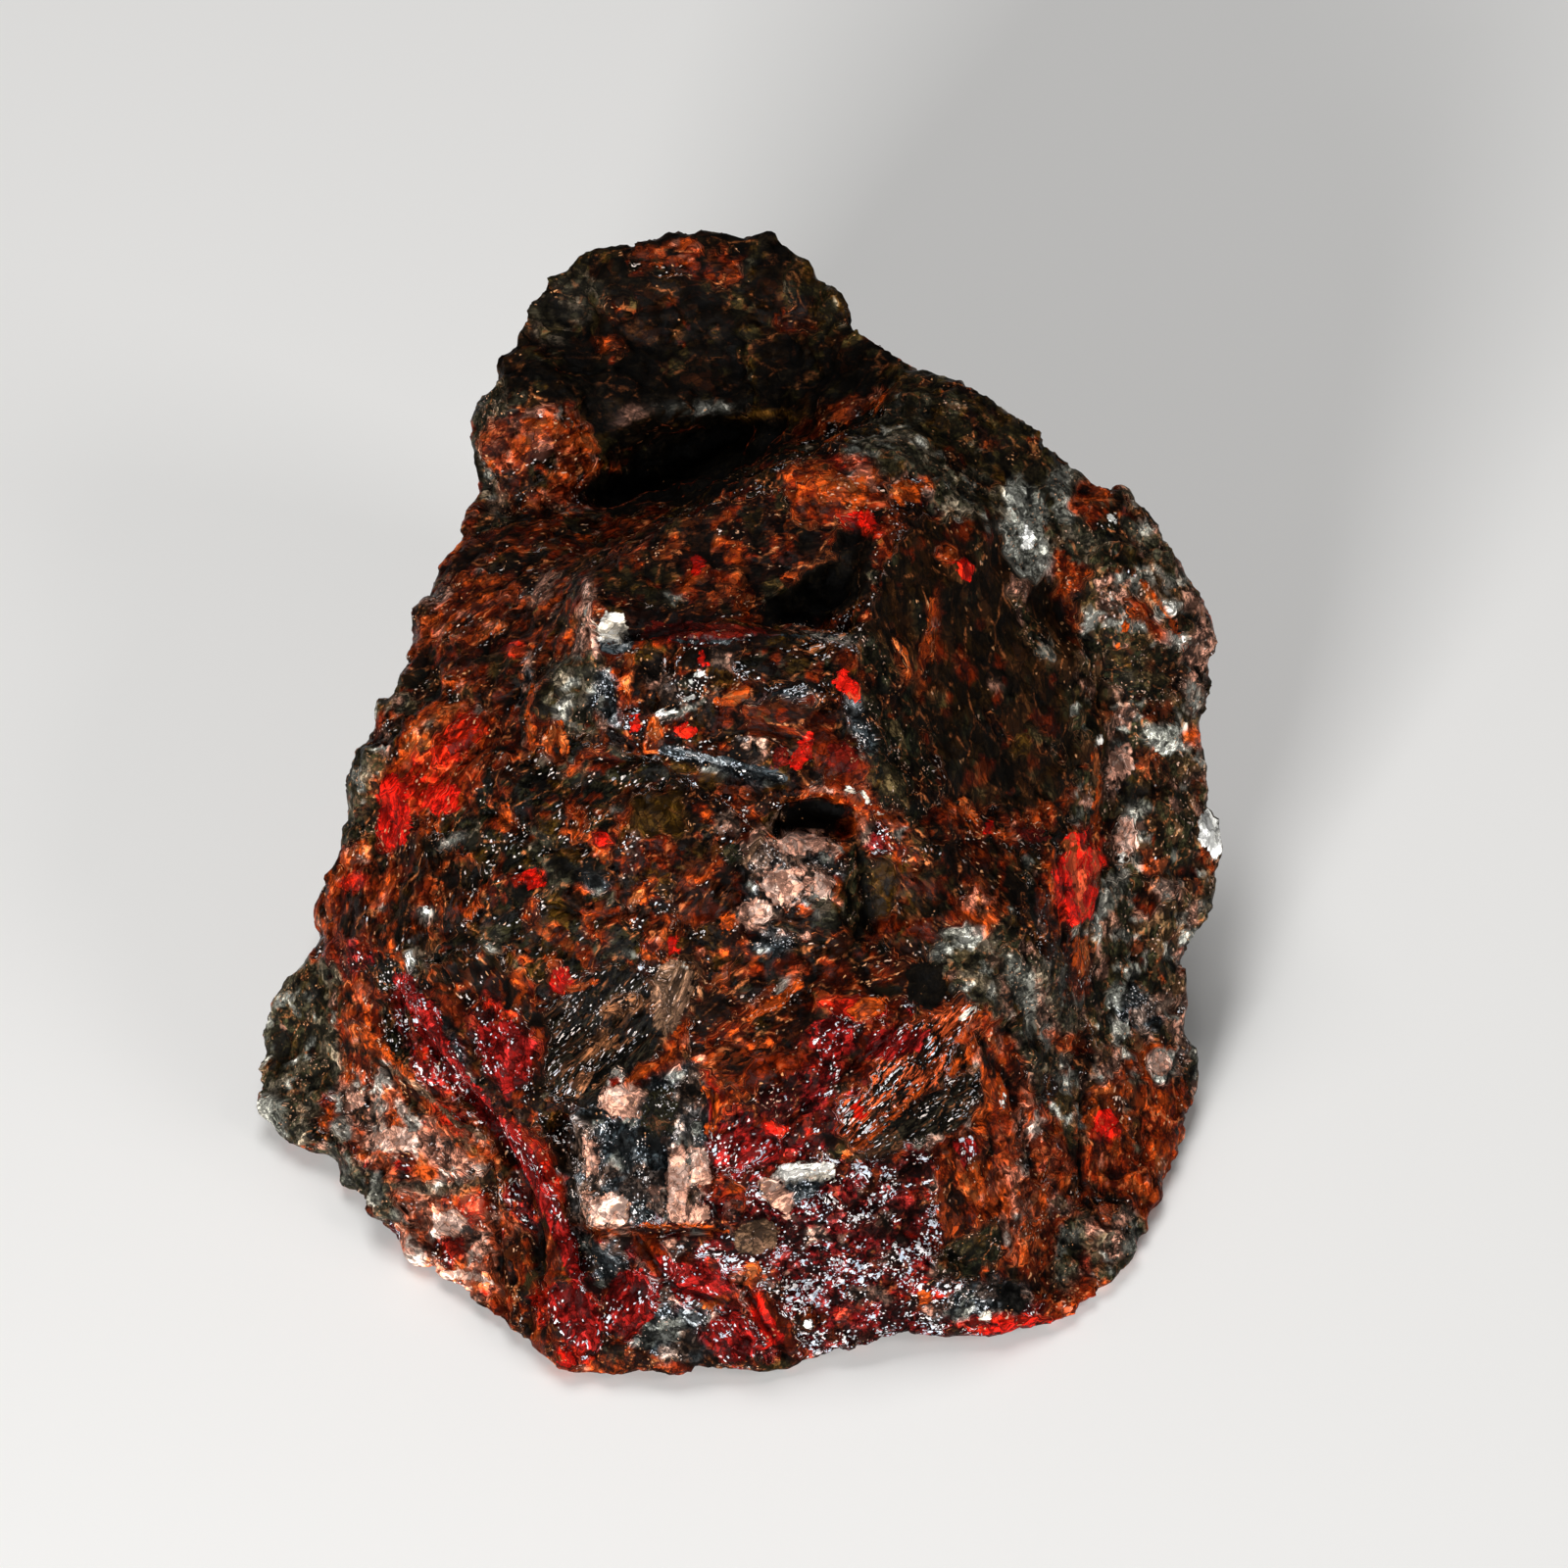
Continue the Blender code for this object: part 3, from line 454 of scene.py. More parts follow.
    (Rock.SCARLET, (-0.7, -17.6, 0.6, 0.4), (3.6, -11.4, 1.8, 0.6, -5, 0.9)),
    (Rock.STRIATED, (6.6, -14.6, 5.2, 1.7, 46)),
    (Rock.RUST, (9.4, -13.4, 2.2, 0.5, 62)),
    (Rock.GREEN_FIBRES, (7.4, -16.9, 3.8, 1.3, 32)),
    (Rock.BLUE_BLACK, (1, -20.7, 1.3, 0.7, 20)),
    (Rock.CRIMSON_GLITTER, (2.6, -20.3, 1.4, 0.8, 30)),
    (Rock.RUST, (-3, -20.9, 1.3, 0.7, -10, 0.7)),
    # the grey step
    (Rock.GREY, (10.4, -9, 2.7, 2, -20), (12.6, -11.4, 3.6, 2, 110, 0.95)),
    (Rock.PALE, (12.2, -10.4, 2.2, 0.6, 112, 0.8)),
    (Rock.PINK_TAN, (11.3, -11, 2.4, 0.25, 108, 0.6), (13.5, -12, 2.4, 0.25, 106, 0.6)),
    (Rock.RUST, (11.2, -14.6, 2.6, 1.3, 110), (14.4, -13.3, 1.2, 0.5, -20), (15.2, -9.4, 1.3, 0.5, 86)),
    # the glittering lower front
    (Rock.BLUE_BLACK, (-9.2, -24.6, 2, 0.9, -50)),
    (Rock.RED_BROWN, (-6.7, -23.9, 1.4, 0.8, -40)),
    (Rock.BLUE_BLACK, (-5.8, -28, 2.6, 1.5, -20)),
    (Rock.CRIMSON, (-8, -26.6, 1.8, 1.2, 60), (-4, -25.4, 2, 0.9, -40), (-2.8, -28.4, 1.5, 1.1, -50)),
    (Rock.RUST, (-3.9, -26.1, 0.7, 0.4, -30), (-1.8, -25.2, 0.8, 0.5, 40)),
    (Rock.RED_BROWN, (-0.6, -27.6, 2.2, 0.8, -50)),
    (Rock.SCARLET, (-1.6, -26.8, 0.9, 0.35, 80, 0.8)),
    (Rock.GREEN_GRIT, (9.6, -23.8, 1.8, 1.2, 40)),
    (Rock.BLUE_BLACK, (10.2, -26.4, 2.2, 1, 12)),
    (Rock.SCARLET, (11.4, -27.4, 2.6, 0.35, 2, 0.9)),
    (Rock.RUST, (14.6, -26.2, 1.8, 0.9, 30), (11.8, -18.3, 2.2, 1.4, -30, 0.9)),
    (Rock.SALMON_RUST, (12.4, -17.8, 1.5, 0.9, 70, 0.8)),
    (Rock.RUST, (13.4, -22.2, 2.6, 1, 60, 0.9)),
    (Rock.SALMON_RUST, (12.9, -21.6, 1.9, 1.1, 60)),
    (Rock.ORANGE_GLASS, (12.8, -22.7, 0.9, 0.5, 60, 0.8)),
    (Rock.PINK_TAN, (14.1, -21.4, 0.5, 0.4)),
    (Rock.GREY, (14.6, -23.8, 2.2, 0.7, 80)),
    (Rock.SCARLET, (16.5, -17.5, 0.9, 0.7, 60)),
    (Rock.BLACK_GREEN, (17.9, -17, 2.4, 0.4, 92, 0.8)),
    (Rock.GREY, (17.4, -23.4, 1.9, 1.7, 60)),
    (Rock.PALE, (17.4, -23.2, 1.7, 0.9, 75, 0.5)),
    (Rock.PINK_TAN, (16.9, -23.2, 1.5, 0.5, 70)),
    # the corner of red glass and the streak of rust beside it
    (Rock.RUST_BROWN, (10, -2.2, 3.6, 1.1)),
    (Rock.RUST, (10.4, -2.2, 3, 0.4, -30), (13, -1.8, 2.4, 0.5, 30), (14.7, -4.8, 2.9, 1.1, 78)),
    (Rock.SCARLET, (15.2, -4.6, 2.4, 1, 72)),
    (Rock.RUST, (10, -6.5, 1.4, 0.8, 110)),
    # the ribs at the lower left
    (Rock.RUST, (-21.7, -12.6, 3.2, 1.2, 90)),
    (Rock.SALMON_RUST, (-20.8, -13.6, 2, 0.35, -48)),
    (Rock.CRIMSON, (-17.9, -13.4, 3.2, 1.3, -62), (-14.4, -13.2, 2.6, 1.6, -60, 0.6)),
    (Rock.BLUE_BLACK, (-16.4, -14.3, 3.4, 0.25, -64)),
    (Rock.OLIVE, (-18.4, -16.4, 3.8, 0.32, -42)),
    (Rock.PINK_TAN, (-21.6, -16.2, 1.5, 0.9, -25, 0.8), (-17.2, -18.9, 2, 0.6, -40, 0.7)),
    (Rock.SCARLET, (-17.4, -16.9, 1.1, 0.5, -45, 0.7)),
    (Rock.RUST, (-18.8, -16, 1.6, 0.6, -45, 0.8)),
    (Rock.PALE, (-19.8, -18.2, 1.2, 0.5, 0, 0.9)),
    (Rock.GREY, (-21.6, -20.4, 3.2, 0.9, -42), (-17.8, -20.6, 2.4, 0.35, -4, 0.9)),
    (Rock.SCARLET, (-15.9, -21.8, 0.9, 0.7, 40, 0.7)),
    (Rock.CRIMSON, (-17, -23.8, 0.8, 0.7)),
    (Rock.SCARLET, (-12.6, -19.2, 2.6, 0.6, -58, 0.75)),
    (Rock.CRIMSON, (-13.4, -21.6, 1.4, 0.6, -60)),
    (Rock.CREST_BROWN, (-13.4, -25, 2.6, 1, 100)),
    (Rock.CRIMSON, (-10.8, -27.2, 2.4, 1.4, 100)),
    (Rock.SCARLET, (-10.6, -28.4, 0.9, 0.6, 60, 0.7)),
    (Rock.PALE, (-26.6, -16.4, 0.9, 0.6, 0, 0.8)),
)

@dataclass(frozen=True)
class Crack:
    """A crevice or sharp step foot, cut into the surface along a line on the board.

    Attributes:
        line: places on the board, in millimetres.
        depth: in millimetres.
        width: in millimetres.
    """

    line: tuple[Pair, ...]
    depth: float
    width: float

    def closeness(self, places: np.ndarray) -> np.ndarray:
        """How close places on the board are to it, one a row: 1 on its line and 0 away from it."""
        ends = zip(self.line, self.line[1:])
        gaps = [line_gap(places, np.array(start), np.array(end)) for start, end in ends]
        return np.exp(-(np.min(gaps, axis=0) / self.width) ** 2)


CRACKS = (
    Crack(((-11.3, -17.2), (-10.8, -21.5), (-10.1, -24.6)), 0.9, 0.3),
    Crack(((-8, 7.7), (-5, 8.2), (0, 8.4), (3.3, 8.2)), 0.6, 0.35),
    Crack(((10, -12.9), (11.8, -15.5), (13, -20)), 0.45, 0.3),
    Crack(((-10.2, -22.9), (-3.2, -22.8)), 0.45, 0.22),
    Crack(((-3.7, -15.4), (-3.3, -22.7)), 0.35, 0.2),
    Crack(((-6.1, -17.8), (-6, -22.4)), 0.25, 0.18),
    Crack(((-9.6, -16.6), (-9.5, -21.4)), 0.25, 0.18),
    Crack(((-0.2, -1.9), (1.4, -1.5), (3, -1.8)), 1.6, 0.6),
    Crack(((-20, -10.8), (-18, -13.9), (-15, -17.3), (-13.1, -21.2), (-12.4, -26)), 0.7, 0.35),
    Crack(((-15.2, -19.4), (-14.8, -22.5), (-14.2, -26.4)), 0.6, 0.3),
    Crack(((-10, 1.2), (-5.5, 1.3), (-0.2, 0.1)), 0.35, 0.25),
    Crack(((3.9, -3), (4.5, -7.4)), 0.4, 0.3),
    Crack(((-2.2, -4.2), (-1.9, -7.6), (2.2, -8.4)), 0.3, 0.25),
    Crack(((-7.6, -23.2), (-5.6, -25.8), (-3.4, -26.4)), 0.4, 0.22),
    Crack(((-2.2, -25.4), (-1, -27.4), (0.2, -29.2)), 0.4, 0.22),
    Crack(((-6.8, 3.8), (-6.4, 6.6)), 0.3, 0.2),
    Crack(((-4.2, 2), (-1.6, 2.9), (1.4, 2.2)), 0.3, 0.22),
    Crack(((-15.2, -1.4), (-12.4, -3.2), (-10.2, -3.4)), 0.4, 0.25),
    Crack(((-12.4, -6.2), (-9.8, -7), (-7.6, -6.4)), 0.35, 0.25),
    Crack(((0.4, -17.2), (3.4, -14.6), (6, -12.2)), 0.35, 0.25),
    Crack(((5.2, -20.2), (8.4, -18.6), (10.4, -16.8)), 0.35, 0.25),
    Crack(((15.4, -15), (15.3, -20.5)), 0.45, 0.25),
)


@dataclass(frozen=True)
class Push:
    """A push that carries the outline to where the specimen's lies, and fades away from its middle.

    Attributes:
        place: its middle, in steps from the board's left and top.
        move: steps to the right and down.
        reach: how far it fades over, in steps.
    """

    place: Pair
    move: Pair
    reach: float

    def moves(self, places: np.ndarray) -> np.ndarray:
        """How far it moves places on the board, in millimetres across and up, one move a row."""
        gap = np.linalg.norm(places - BOARD.step_place(*self.place), axis=1) / (self.reach * BOARD.step)
        return np.exp(-(gap**2))[:, None] * np.array([self.move[0], -self.move[1]]) * BOARD.step


PUSHES = (
    # the toe
    Push((291, 1120), (-50, 0), 38),
    Push((326, 1196), (14, -10), 22),
    Push((366, 1226), (-13, 8), 20),
    Push((392, 1260), (10, -8), 20),
    # the foot
    Push((500, 1345), (-8, 9), 60),
    Push((885, 1372), (0, 9), 35),
    Push((1198, 1198), (-10, -3), 20),
    Push((1182, 1240), (-8, -4), 25),
    # the knob and the left side
    Push((566, 296), (-11, -9), 50),
    Push((676, 238), (0, 10), 20),
    Push((483, 440), (-9, 0), 35),
    Push((881, 329), (-6, 9), 10),
    Push((412, 656), (8, 0), 22),
    Push((366, 757), (13, 0), 25),
    # the right side
    Push((1222, 640), (13, -3), 55),
    Push((1235, 733), (-11, 0), 20),
    Push((1235, 920), (9, 0), 35),
)


@dataclass(frozen=True)
class Crystal:
    """A crystal, chip or thread in the front, drawn on the board.

    Attributes:
        rock: what it is made of.
        corners: its outline, or its line where it has a half width. Steps from the board's left and top.
        half_width: of a thread or a round grain, in steps.
    """

    rock: Rock
    corners: tuple[Pair, ...]
    half_width: float = 0.0

    def depth(self, places: np.ndarray) -> np.ndarray:
        """How far inside its outline places on the board lie, in millimetres, less than 0 outside.

        Args:
            places: one a row, millimetres across and up from the board's middle.

        Returns:
            One depth a place, -FAR where the place is far off.
        """
        corners = [BOARD.step_place(*corner) for corner in self.corners]
        low = np.min(corners, axis=0) - self.half_width * BOARD.step - CRYSTAL_REACH
        high = np.max(corners, axis=0) + self.half_width * BOARD.step + CRYSTAL_REACH
        close = ((places > low) & (places < high)).all(axis=1)
        depths = np.full(len(places), -FAR)
        if close.any():
            depths[close] = self._depth_close(places[close], corners)
        return depths

    def _depth_close(self, places: np.ndarray, corners: list[np.ndarray]) -> np.ndarray:
        """The same for places close by."""
        gap = np.full(len(places), np.inf)
        inside = np.zeros(len(places), bool)
        ends = corners[1:] if self.half_width else corners[1:] + corners[:1]
        for start, end in zip(corners, ends or corners):
            gap = np.minimum(gap, line_gap(places, start, end))
            run = end - start
            rises = (start[1] > places[:, 1]) != (end[1] > places[:, 1])
            crossing = start[0] + (places[:, 1] - start[1]) * run[0] / (run[1] or TINY)
            inside ^= rises & (places[:, 0] < crossing)
        if self.half_width:
            return self.half_width * BOARD.step - gap
        return np.where(inside, gap, -gap)


# The corners of each crystal's outline, by rock.
OUTLINES: dict[Rock, tuple[tuple[Pair, ...], ...]] = {
    Rock.FLAME_GLASS: (
        ((849, 688), (860, 684), (873, 693), (881, 712), (874, 719), (862, 707), (850, 699)),
        ((1072, 892), (1088, 870), (1118, 862), (1130, 880), (1114, 897), (1088, 903)),
        ((1118, 1136), (1134, 1131), (1144, 1146), (1132, 1161), (1117, 1154)),
        ((1083, 916), (1102, 898), (1122, 906), (1114, 938), (1092, 946)),
        ((1084, 852), (1104, 846), (1112, 858), (1094, 864)),
    ),
    Rock.RED_GLASS: (
        ((805, 783), (812, 762), (825, 745), (832, 742), (832, 760), (826, 776), (815, 786)),
        ((688, 744), (704, 738), (714, 744), (706, 752), (692, 752)),
        ((712, 662), (722, 664), (726, 680), (716, 684), (710, 672)),
        ((388, 800), (400, 788), (415, 803), (420, 840), (412, 862), (395, 866), (384, 850)),
        ((430, 806), (450, 797), (471, 806), (468, 826), (445, 833), (430, 823)),
        ((563, 990), (578, 987), (583, 1004), (574, 1015), (562, 1008)),
        ((971, 575), (984, 568), (995, 578), (990, 591), (976, 590)),
        ((998, 840), (1012, 837), (1019, 848), (1004, 853)),
        ((775, 1148), (788, 1141), (798, 1152), (787, 1162)),
        ((866, 1130), (878, 1123), (885, 1136), (874, 1143)),
        ((860, 526), (888, 519), (897, 534), (870, 541)), ((703, 568), (714, 564), (721, 578), (708, 587)),
        ((568, 1380), (584, 1377), (589, 1392), (574, 1397)),
        ((608, 851), (618, 849), (623, 861), (613, 867)), ((533, 892), (548, 887), (554, 900), (540, 908)),
        ((678, 957), (690, 954), (694, 970), (682, 976)), ((642, 731), (653, 730), (656, 743), (646, 747)),
        ((772, 1320), (785, 1334), (801, 1370), (785, 1376), (769, 1346)),
        ((980, 1356), (1030, 1349), (1078, 1350), (1060, 1359), (1010, 1362)),
    ),
    Rock.DARK_RED_GLASS: (
        ((786, 766), (803, 762), (806, 780), (790, 784)),
        ((846, 760), (862, 756), (876, 768), (872, 788), (852, 790), (843, 778)),
        ((655, 638), (700, 634), (760, 638), (790, 646), (740, 650), (690, 652), (660, 650)),
        ((1034, 846), (1060, 843), (1072, 856), (1048, 862)),
        ((456, 1266), (472, 1263), (476, 1280), (460, 1283)),
    ),
    Rock.CRIMSON_GLASS: (
        ((665, 1280), (700, 1290), (741, 1300), (748, 1315), (720, 1331), (690, 1326)),
        ((614, 1330), (630, 1300), (655, 1294), (676, 1312), (668, 1346), (640, 1363)),
        ((724, 1352), (745, 1337), (770, 1348), (776, 1380), (752, 1393), (727, 1380)),
        ((720, 1162), (760, 1150), (802, 1160), (796, 1184), (760, 1196), (728, 1190)),
        ((828, 1044), (850, 1036), (874, 1046), (866, 1074), (842, 1082), (826, 1068)),
        ((884, 1054), (916, 1048), (950, 1052), (940, 1072), (906, 1082), (884, 1074)),
        ((972, 1166), (992, 1158), (1002, 1176), (984, 1190)),
        ((420, 1024), (444, 1018), (452, 1044), (436, 1062), (422, 1050)),
        ((486, 1046), (520, 1040), (548, 1066), (540, 1100), (516, 1120), (492, 1090)),
        ((560, 1318), (588, 1310), (616, 1340), (612, 1380), (580, 1372), (562, 1348)),
    ),
    Rock.ORANGE_GLASS: (
        ((728, 716), (745, 705), (765, 701), (766, 710), (748, 720), (735, 723)),
        ((660, 732), (672, 730), (677, 750), (668, 762), (659, 750)),
        ((511, 822), (520, 819), (523, 838), (514, 842)), ((565, 736), (574, 734), (581, 768), (572, 771)),
        ((759, 607), (769, 606), (771, 620), (762, 624)), ((733, 934), (748, 929), (753, 944), (738, 951)),
        ((640, 916), (655, 906), (672, 912), (660, 923), (645, 925)),
        ((864, 1030), (885, 1013), (906, 1018), (898, 1035), (875, 1043)),
        ((828, 488), (846, 477), (863, 486), (856, 501), (836, 502)),
        ((908, 500), (925, 489), (945, 496), (940, 512), (918, 517)),
        ((715, 1322), (735, 1325), (728, 1339), (717, 1336)),
        ((760, 1288), (774, 1284), (777, 1302), (764, 1308)),
        ((556, 976), (566, 973), (570, 985), (558, 988)), ((965, 559), (977, 560), (974, 571), (964, 570)),
        ((1095, 957), (1110, 954), (1114, 984), (1103, 1000), (1095, 980)),
        ((936, 1318), (950, 1316), (954, 1330), (940, 1334)),
    ),
    Rock.CREAM: (
        ((607, 633), (618, 623), (635, 627), (641, 644), (631, 656), (612, 654)),
        ((782, 1204), (798, 1187), (852, 1185), (852, 1205)),
        # A broad white glint, painted as a pale crystal: a painted highlight.
        ((995, 1341), (1005, 1335), (1014, 1341), (1010, 1348), (1000, 1349)),
        ((1140, 870), (1150, 868), (1152, 880), (1142, 883)),
        ((1190, 616), (1198, 613), (1201, 626), (1192, 628)),
        ((1200, 650), (1209, 648), (1211, 660), (1202, 662)),
    ),
    Rock.BLUE_BLACK: (
        ((612, 655), (633, 657), (645, 648), (648, 660), (632, 669), (615, 666)),
        ((797, 1202), (849, 1203), (816, 1231), (804, 1222)),
    ),
    Rock.PINK_STONE: (
        ((771, 1201), (793, 1201), (809, 1227), (805, 1245), (787, 1233)),
        ((600, 1226), (622, 1217), (642, 1224), (640, 1249), (602, 1251)),
        ((684, 1166), (698, 1168), (703, 1205), (699, 1251), (682, 1249), (679, 1200)),
        ((704, 1170), (722, 1172), (727, 1204), (720, 1211), (705, 1207)),
        ((704, 1233), (724, 1229), (727, 1247), (703, 1249)),
        ((611, 1112), (640, 1105), (656, 1115), (650, 1139), (625, 1141), (611, 1130)),
        ((596, 1162), (609, 1160), (611, 1200), (598, 1202)),
        ((776, 900), (790, 885), (815, 888), (822, 905), (806, 925), (784, 920)),
        ((830, 896), (842, 888), (852, 900), (846, 915), (832, 912)),
        ((792, 856), (815, 846), (845, 852), (842, 868), (812, 873), (794, 868)),
        ((748, 924), (770, 915), (789, 922), (784, 942), (760, 948)),
        ((354, 1116), (370, 1113), (374, 1128), (358, 1132)),
        ((376, 1158), (400, 1148), (431, 1156), (424, 1172), (392, 1177)),
        ((440, 1240), (462, 1232), (478, 1246), (464, 1262), (444, 1258)),
        ((1172, 1076), (1190, 1072), (1198, 1088), (1184, 1100), (1172, 1092)),
        ((1141, 836), (1156, 832), (1162, 860), (1150, 878), (1140, 862)),
        ((1134, 766), (1150, 758), (1158, 780), (1146, 798), (1134, 790)),
    ),
    Rock.WHITE: (
        ((1226, 832), (1240, 822), (1255, 842), (1253, 866), (1239, 878), (1225, 860)),
        ((1041, 541), (1049, 535), (1056, 548), (1052, 560), (1043, 559)),
    ),
    Rock.BLACK_GREEN: (((656, 1112), (684, 1110), (692, 1134), (684, 1158), (660, 1160), (653, 1134)),),
    Rock.TAN_STONE: (
        ((748, 1262), (760, 1246), (782, 1241), (796, 1254), (792, 1272), (770, 1283), (752, 1278)),
        ((672, 985), (692, 977), (706, 992), (701, 1026), (685, 1061), (668, 1050), (664, 1010)),
        ((1074, 1222), (1086, 1219), (1090, 1234), (1078, 1238)),
    ),
    Rock.GREEN_GRIT: (((735, 866), (745, 857), (757, 864), (756, 877), (743, 883)),),
    Rock.BLACK: (
        ((922, 990), (940, 981), (962, 986), (967, 1012), (950, 1031), (930, 1022)),
        # The second is black painted into the pit over the lump, as painted shade.
        ((795, 845), (808, 829), (822, 820), (845, 819), (862, 823), (856, 833), (835, 848), (820, 846)),
    ),
    Rock.AMBER: (((1038, 751), (1050, 749), (1054, 762), (1042, 766)),),
    Rock.PALE: (((1182, 744), (1200, 738), (1206, 756), (1196, 772), (1182, 766)),),
}

# The half width of each thread or round grain, and the points of its line, by rock.
THREADS: dict[Rock, tuple[tuple[Any, ...], ...]] = {
    Rock.CRIMSON_GLASS: (
        (9, (410, 1000), (440, 1050), (470, 1100), (500, 1140), (530, 1170)),
        (10, (530, 1170), (550, 1210), (575, 1260), (590, 1300)),
    ),
    Rock.ORANGE_GLASS: (
        (4, (580, 1009), (608, 1001)), (4, (717, 1108), (730, 1120), (733, 1140), (722, 1152)),
        (2, (655, 1251), (700, 1250), (741, 1256)), (5, (766, 1040), (790, 1024), (815, 1005)),
        (2.5, (543, 700), (539, 730), (542, 760)), (4, (360, 1048), (390, 1070), (420, 1100)),
        (4, (641, 1104), (665, 1086)), (2.5, (952, 612), (949, 640), (953, 678)),
        (3, (911, 652), (922, 668), (928, 688)), (3, (1140, 660), (1150, 640), (1155, 620)),
        (2.5, (1166, 596), (1190, 624), (1209, 660)), (4, (982, 818), (1000, 842), (1022, 850)),
        (3.5, (1118, 772), (1121, 810), (1117, 858)), (4, (972, 1092), (1000, 1060)),
        (3, (862, 1180), (900, 1150), (940, 1112)),
    ),
    Rock.WHITE: (
        # All but the grain at (1136, 528) are painted glints and highlights: white dots and dashes where the
        # surface flashes, and the white core of a streak along a small step.
        (5, (825, 1350)), (5, (1136, 528)), (2.5, (691, 768), (704, 771), (714, 774)),
        (2.5, (703, 694), (715, 686)), (2.5, (672, 729), (690, 726)), (2.5, (695, 718), (706, 711)),
        (3, (435, 930)), (2.5, (418, 972), (419, 985)),
    ),
    Rock.CREAM: (
        (1.2, (1026, 1108), (1024, 1130)), (0.8, (860, 800), (880, 812), (900, 832)),
        # The short thread at (520, 1196) is a painted glint.
        (2, (520, 1196), (521, 1205)), (3, (982, 1040), (994, 1030)), (3, (681, 985), (700, 986)),
        (4, (1122, 755)),
    ),
    Rock.BLUE_BLACK: (
        # A streak along a small step, as a painted highlight.
        (6, (678, 765), (705, 771), (735, 778), (795, 791)),
        # A thin line along the top edge of the front face, as a painted highlight.
        (1.2, (690, 654), (740, 655), (800, 648), (850, 650)),
    ),
    Rock.PINK_STONE: (
        # The short thread at (486, 1190) is a painted glint, painted pink.
        (2.5, (598, 592), (600, 630), (610, 670)), (2, (486, 1190), (490, 1200)),
        (4, (440, 1304), (470, 1300), (500, 1308)),
    ),
    Rock.TAN_STONE: (
        (3, (400, 1090), (440, 1120), (470, 1150), (500, 1160)), (4, (795, 830), (776, 854), (758, 882)),
    ),
}

CRYSTALS = (
    *(Crystal(rock, corners) for rock, outlines in OUTLINES.items() for corners in outlines),
    *(Crystal(rock, tuple(line), width) for rock, threads in THREADS.items() for width, *line in threads),
)


def scene_object(name: str, data: bpy.types.ID) -> bpy.types.Object:
    """A new object in the scene.

    Args:
        name: the object's name.
        data: its mesh, light or camera.

    Returns:
        The object.
    """
    made = bpy.data.objects.new(name, data)
    bpy.context.scene.collection.objects.link(made)
    return made


def take_shape(piece: bpy.types.Object, kind: str, **settings: Any) -> None:
    """Gives a piece the shape that one modifier makes of it.

    Args:
        piece: the object.
        kind: the modifier's type.
        settings: the modifier's values.
    """
    modifier = piece.modifiers.new(kind.title(), kind)
    for name, value in settings.items():
        setattr(modifier, name, value)
    graph = bpy.context.evaluated_depsgraph_get()
    shaped = bpy.data.meshes.new_from_object(piece.evaluated_get(graph))
    piece.modifiers.clear()
    piece.data = shaped


def vertex_array(mesh: bpy.types.Mesh, name: str) -> np.ndarray:
    """The places ("co") or normals ("normal") of a mesh's vertices, one a row."""
    values = np.empty(len(mesh.vertices) * 3, np.float32)
    mesh.vertices.foreach_get(name, values)
    return values.reshape(-1, 3).astype(float)


def keep_on_mesh(mesh: bpy.types.Mesh, name: str, kind: str, key: str, values: np.ndarray) -> None:
    """Keeps a value for each of a mesh's vertices.

    Args:
        mesh: the mesh.
        name: that the material reads it by.
        kind: such as FLOAT.
        key: what Blender calls its value, such as "color".
        values: one a row.
    """
    kept = mesh.attributes.new(name, kind, "POINT")
    kept.data.foreach_set(key, values.astype(np.float32).ravel())


def smooth_step(low: float, high: float, values: np.ndarray) -> np.ndarray:
    """Rises smoothly from 0 at low to 1 at high."""
    share = np.clip((values - low) / (high - low), 0, 1)
    return share * share * (3 - 2 * share)


def noise_vectors(points: np.ndarray, size: float, shift: float) -> np.ndarray:
    """Smooth random vectors over space.

    Args:
        points: one point a row, in metres.
        size: how wide the swings are, in metres.
        shift: moves the pattern, so that two patterns differ.

    Returns:
        One vector a row, about -1 to 1 each way.
    """
    offset = Vector((shift, shift * 2, -shift))
    return np.array([noise.noise_vector(Vector(point) / size + offset) for point in points])


def grain_heights(points: np.ndarray, size: float, shift: float = 0.0) -> np.ndarray:
    """Heights of a surface whose every grain is a small plane that lies its own way.

    Args:
        points: one point a row, in metres.
        size: of the grains, in metres.
        shift: moves the pattern.

    Returns:
        A height for each point, about -0.5 to 0.5.
    """
    heights = np.empty(len(points))
    ones = Vector((1, 1, 1))
    offset = ones * shift
    for number, point in enumerate(points):
        place = Vector(point) / size + offset
        centre = noise.voronoi(place)[1][0]
        lie = noise.cell_vector(centre * LOT_SEED) * 2 - ones
        heights[number] = (place - centre).dot(lie)
    return heights


